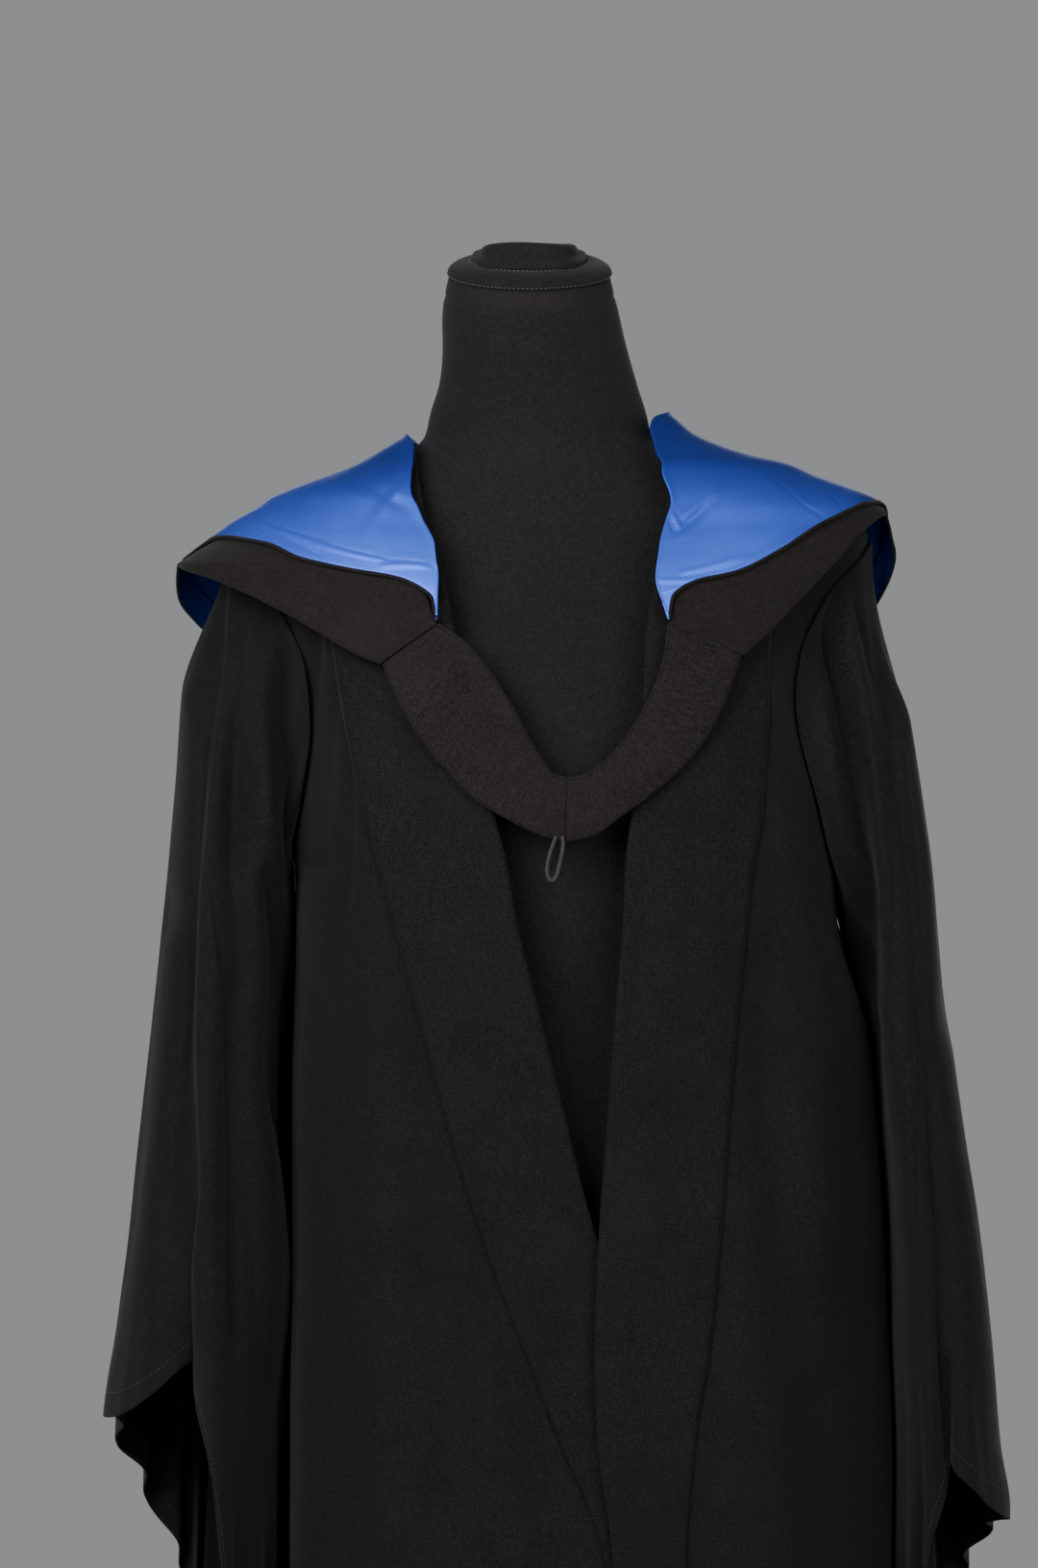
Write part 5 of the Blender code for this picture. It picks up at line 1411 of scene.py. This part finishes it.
def form():
    piece = laid("cover_torso", form_place, 112, 200, (0.9, 0.75), 0, [JERSEY], True)
    closed_ends(piece)
    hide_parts("form_torso")
    tip = math.radians(float(neck_lean(NECK_TOP)))
    axis = np.array([0.0, -math.sin(tip), math.cos(tip)])
    top = np.array([-NECK_SHIFT, float(curve(FORM["z"], FORM["centre_y"], NECK_TOP)), NECK_TOP])

    def tier(name, node, steps, uneven, seed, slump=0.0):
        t = columns(("along", "wide", "deep"), steps)
        at = np.arange(len(steps), dtype=float)

        def place(u, v):
            where = v * (len(steps) - 1)
            along, wide, deep = (curve(at, t[key], where) for key in ("along", "wide", "deep"))
            a = 2 * np.pi * u
            wavy = 1 + uneven * (np.sin(3 * a + seed) + 0.6 * np.sin(5 * a + 2 * seed)) * ease(wide / 0.02)
            square = 2.0 + 0.8 * slump
            s, c = np.sin(a), np.cos(a)
            reach = (np.abs(s) ** square + np.abs(c) ** square) ** (-1 / square)
            x, y = wide * wavy * s * reach, -deep * wavy * c * reach
            upper = ease((along - 0.0125) / 0.0085)
            lift = along + slump * upper * (-0.30 * y - 0.0016 * c * c + 0.0007 * np.sin(3 * a + 1.0))
            spots = top + axis * lift[:, None]
            return spots + np.stack([-x, y * math.cos(tip), y * math.sin(tip)], axis=-1)

        piece = laid(name, place, 96, 50, (0.35, 0.12), 0, [JERSEY], True)
        closed_ends(piece)
        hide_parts(node)

        def ring(v, grow):
            us = np.linspace(0, 1, 240)
            spots = place(us, us * 0 + v)
            middle = spots.mean(axis=0)
            return middle + (spots - middle) * grow + axis * 0.0003

        return ring

    disc = tier(
        "cover_neck_disc",
        "form_neck_disc",
        (
            (0.0003, 0.0300, 0.0270), (0.0003, 0.0515, 0.0472), (0.0006, 0.0540, 0.0496), (0.0016, 0.0551, 0.0507),
            (0.0034, 0.0548, 0.0504), (0.0054, 0.0536, 0.0492), (0.0076, 0.0508, 0.0465), (0.0093, 0.0464, 0.0423),
            (0.0103, 0.0412, 0.0375), (0.0108, 0.0300, 0.0270),
        ),
        0.003,
        0.7,
    )
    tier(
        "cover_neck_cap",
        "form_neck_cap",
        (
            (0.0109, 0.0200, 0.0180), (0.0109, 0.0370, 0.0338), (0.0118, 0.0381, 0.0348), (0.0132, 0.0378, 0.0345),
            (0.0146, 0.0352, 0.0320), (0.0158, 0.0330, 0.0298), (0.0172, 0.0322, 0.0288), (0.0192, 0.0314, 0.0276),
            (0.0206, 0.0296, 0.0256), (0.0213, 0.0268, 0.0226), (0.0212, 0.0200, 0.0160), (0.0206, 0.0060, 0.0055),
        ),
        0.010,
        2.1,
        1.0,
    )
    rings = [disc(8.12 / 9, 1.0), disc(0.31, 1.002)]
    stitches("cover_stitches", rings, PALE_THREAD, 0.0030, 0.0010, 0.00032)


def turned(name, node, outline):
    """A round metal piece, spun from its outline of (radius, height)."""
    shape = bmesh.new()
    points = [shape.verts.new((radius, 0.0, height)) for radius, height in outline]
    edges = [shape.edges.new(pair) for pair in zip(points, points[1:])]
    bmesh.ops.spin(
        shape, geom=points + edges, cent=(0, 0, 0), axis=(0, 0, 1), angle=2 * math.pi, steps=96, use_merge=True
    )
    bmesh.ops.remove_doubles(shape, verts=shape.verts, dist=1e-6)
    bmesh.ops.recalc_face_normals(shape, faces=shape.faces)
    for face in shape.faces:
        face.smooth = True
    piece = finished(name, shape, [METAL])
    soft = piece.modifiers.new("edges", "BEVEL")
    soft.width, soft.segments, soft.limit_method, soft.angle_limit = 0.0008, 3, "ANGLE", math.radians(30)
    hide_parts(node)
    return piece


def stand():
    foot = BASE_THICK + GAP
    turned(
        "metal_base",
        "stand_base",
        [
            (0.0, 0.0), (BASE_RADIUS - 0.002, 0.0), (BASE_RADIUS, 0.002),
            (BASE_RADIUS, BASE_THICK - 0.003), (BASE_RADIUS - 0.003, BASE_THICK), (0.0, BASE_THICK),
        ],
    )
    turned(
        "metal_collar",
        "stand_collar",
        [
            (0.0, foot), (0.034, foot), (0.034, foot + 0.008),
            (0.020, foot + 0.014), (0.020, foot + 0.040), (0.0, foot + 0.040),
        ],
    )
    start = foot + 0.040 + GAP
    finish_at = FORM_BOTTOM - 0.020 - GAP
    pole = [(0.0, start), (POLE_RADIUS, start), (POLE_RADIUS, finish_at), (0.0, finish_at)]
    turned("metal_pole", "stand_pole", pole)
    turned(
        "metal_socket",
        "stand_socket",
        [
            (0.0, FORM_BOTTOM - 0.020), (0.022, FORM_BOTTOM - 0.020), (0.022, FORM_BOTTOM - 0.006),
            (0.050, FORM_BOTTOM - GAP), (0.0, FORM_BOTTOM - GAP),
        ],
    )


def button_loop():
    spots = np.array(LOOP_PATH)
    at = np.arange(len(spots), dtype=float)
    fine = np.linspace(0, len(spots) - 1, 90)
    x, z = np.interp(fine, at, spots[:, 0]), np.interp(fine, at, spots[:, 1])
    for _ in range(60):
        x[1:-1] = (x[:-2] + 2 * x[1:-1] + x[2:]) / 4
        z[1:-1] = (z[:-2] + 2 * z[1:-1] + z[2:]) / 4
    lying = UNDER + CLOTH + GAP + LOOP_RADIUS
    path = evenly(hood_point(angle_at(HOOD, x, z), z, lying + 0 * z), 0.0008)[0]
    piece = cordlike("cord_loop", path, LOOP_RADIUS, THREAD, 10, 0.0008)
    path = evenly(path, 0.0008)[0]
    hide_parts("hood_loop")


# ---- the studio: lamps as (name, place, size, watts), and the camera
LAMPS = (
    ("key", (-1.0, -1.9, 2.10), 1.3, 78.0),
    ("fill", (1.1, -2.3, 1.90), 1.6, 48.0),
    ("rear", (0.3, 3.7, 1.10), 2.6, 75.0),
)
LAMPS_AIM_Z = 1.40
SKY_COLOUR = (0.60, 0.62, 0.64, 1.0)
SKY_STRENGTH = 0.46
FLOOR_RADIUS = 3.0
LENS_MM = 108.66
SENSOR_MM = 36.0
CAMERA_FAR = 3.2
CAMERA_TILT = 3.0
PICTURE_X = -0.013
PICTURE_Z = 1.2525


def studio():
    floor = bmesh.new()
    bmesh.ops.create_circle(floor, cap_ends=True, segments=160, radius=FLOOR_RADIUS)
    ground = finished("floor", floor, [floor_finish()])
    world = bpy.data.worlds.new("studio")
    world.use_nodes = True
    sky = world.node_tree.nodes["Background"]
    sky.inputs["Color"].default_value = SKY_COLOUR
    sky.inputs["Strength"].default_value = SKY_STRENGTH
    bpy.context.scene.world = world
    for name, spot, size, power in LAMPS:
        lamp = bpy.data.lights.new(name, "AREA")
        lamp.shape, lamp.size, lamp.energy = "SQUARE", size, power
        holder = bpy.data.objects.new(name, lamp)
        holder.location = spot
        aim = Vector((0.0, 0.0, LAMPS_AIM_Z)) - Vector(spot)
        holder.rotation_euler = aim.to_track_quat("-Z", "Y").to_euler()
        bpy.context.scene.collection.objects.link(holder)
    lens = bpy.data.cameras.new("camera")
    lens.lens, lens.sensor_width = LENS_MM, SENSOR_MM
    camera = bpy.data.objects.new("camera", lens)
    tilt = math.radians(CAMERA_TILT)
    camera.location = (PICTURE_X, -CAMERA_FAR * math.cos(tilt), PICTURE_Z + CAMERA_FAR * math.sin(tilt))
    camera.rotation_euler = (math.radians(90.0) - tilt, 0.0, 0.0)
    bpy.context.scene.collection.objects.link(camera)
    bpy.context.scene.camera = camera


studio()
gown_body()
sleeves()
hood()
form()
stand()
button_loop()
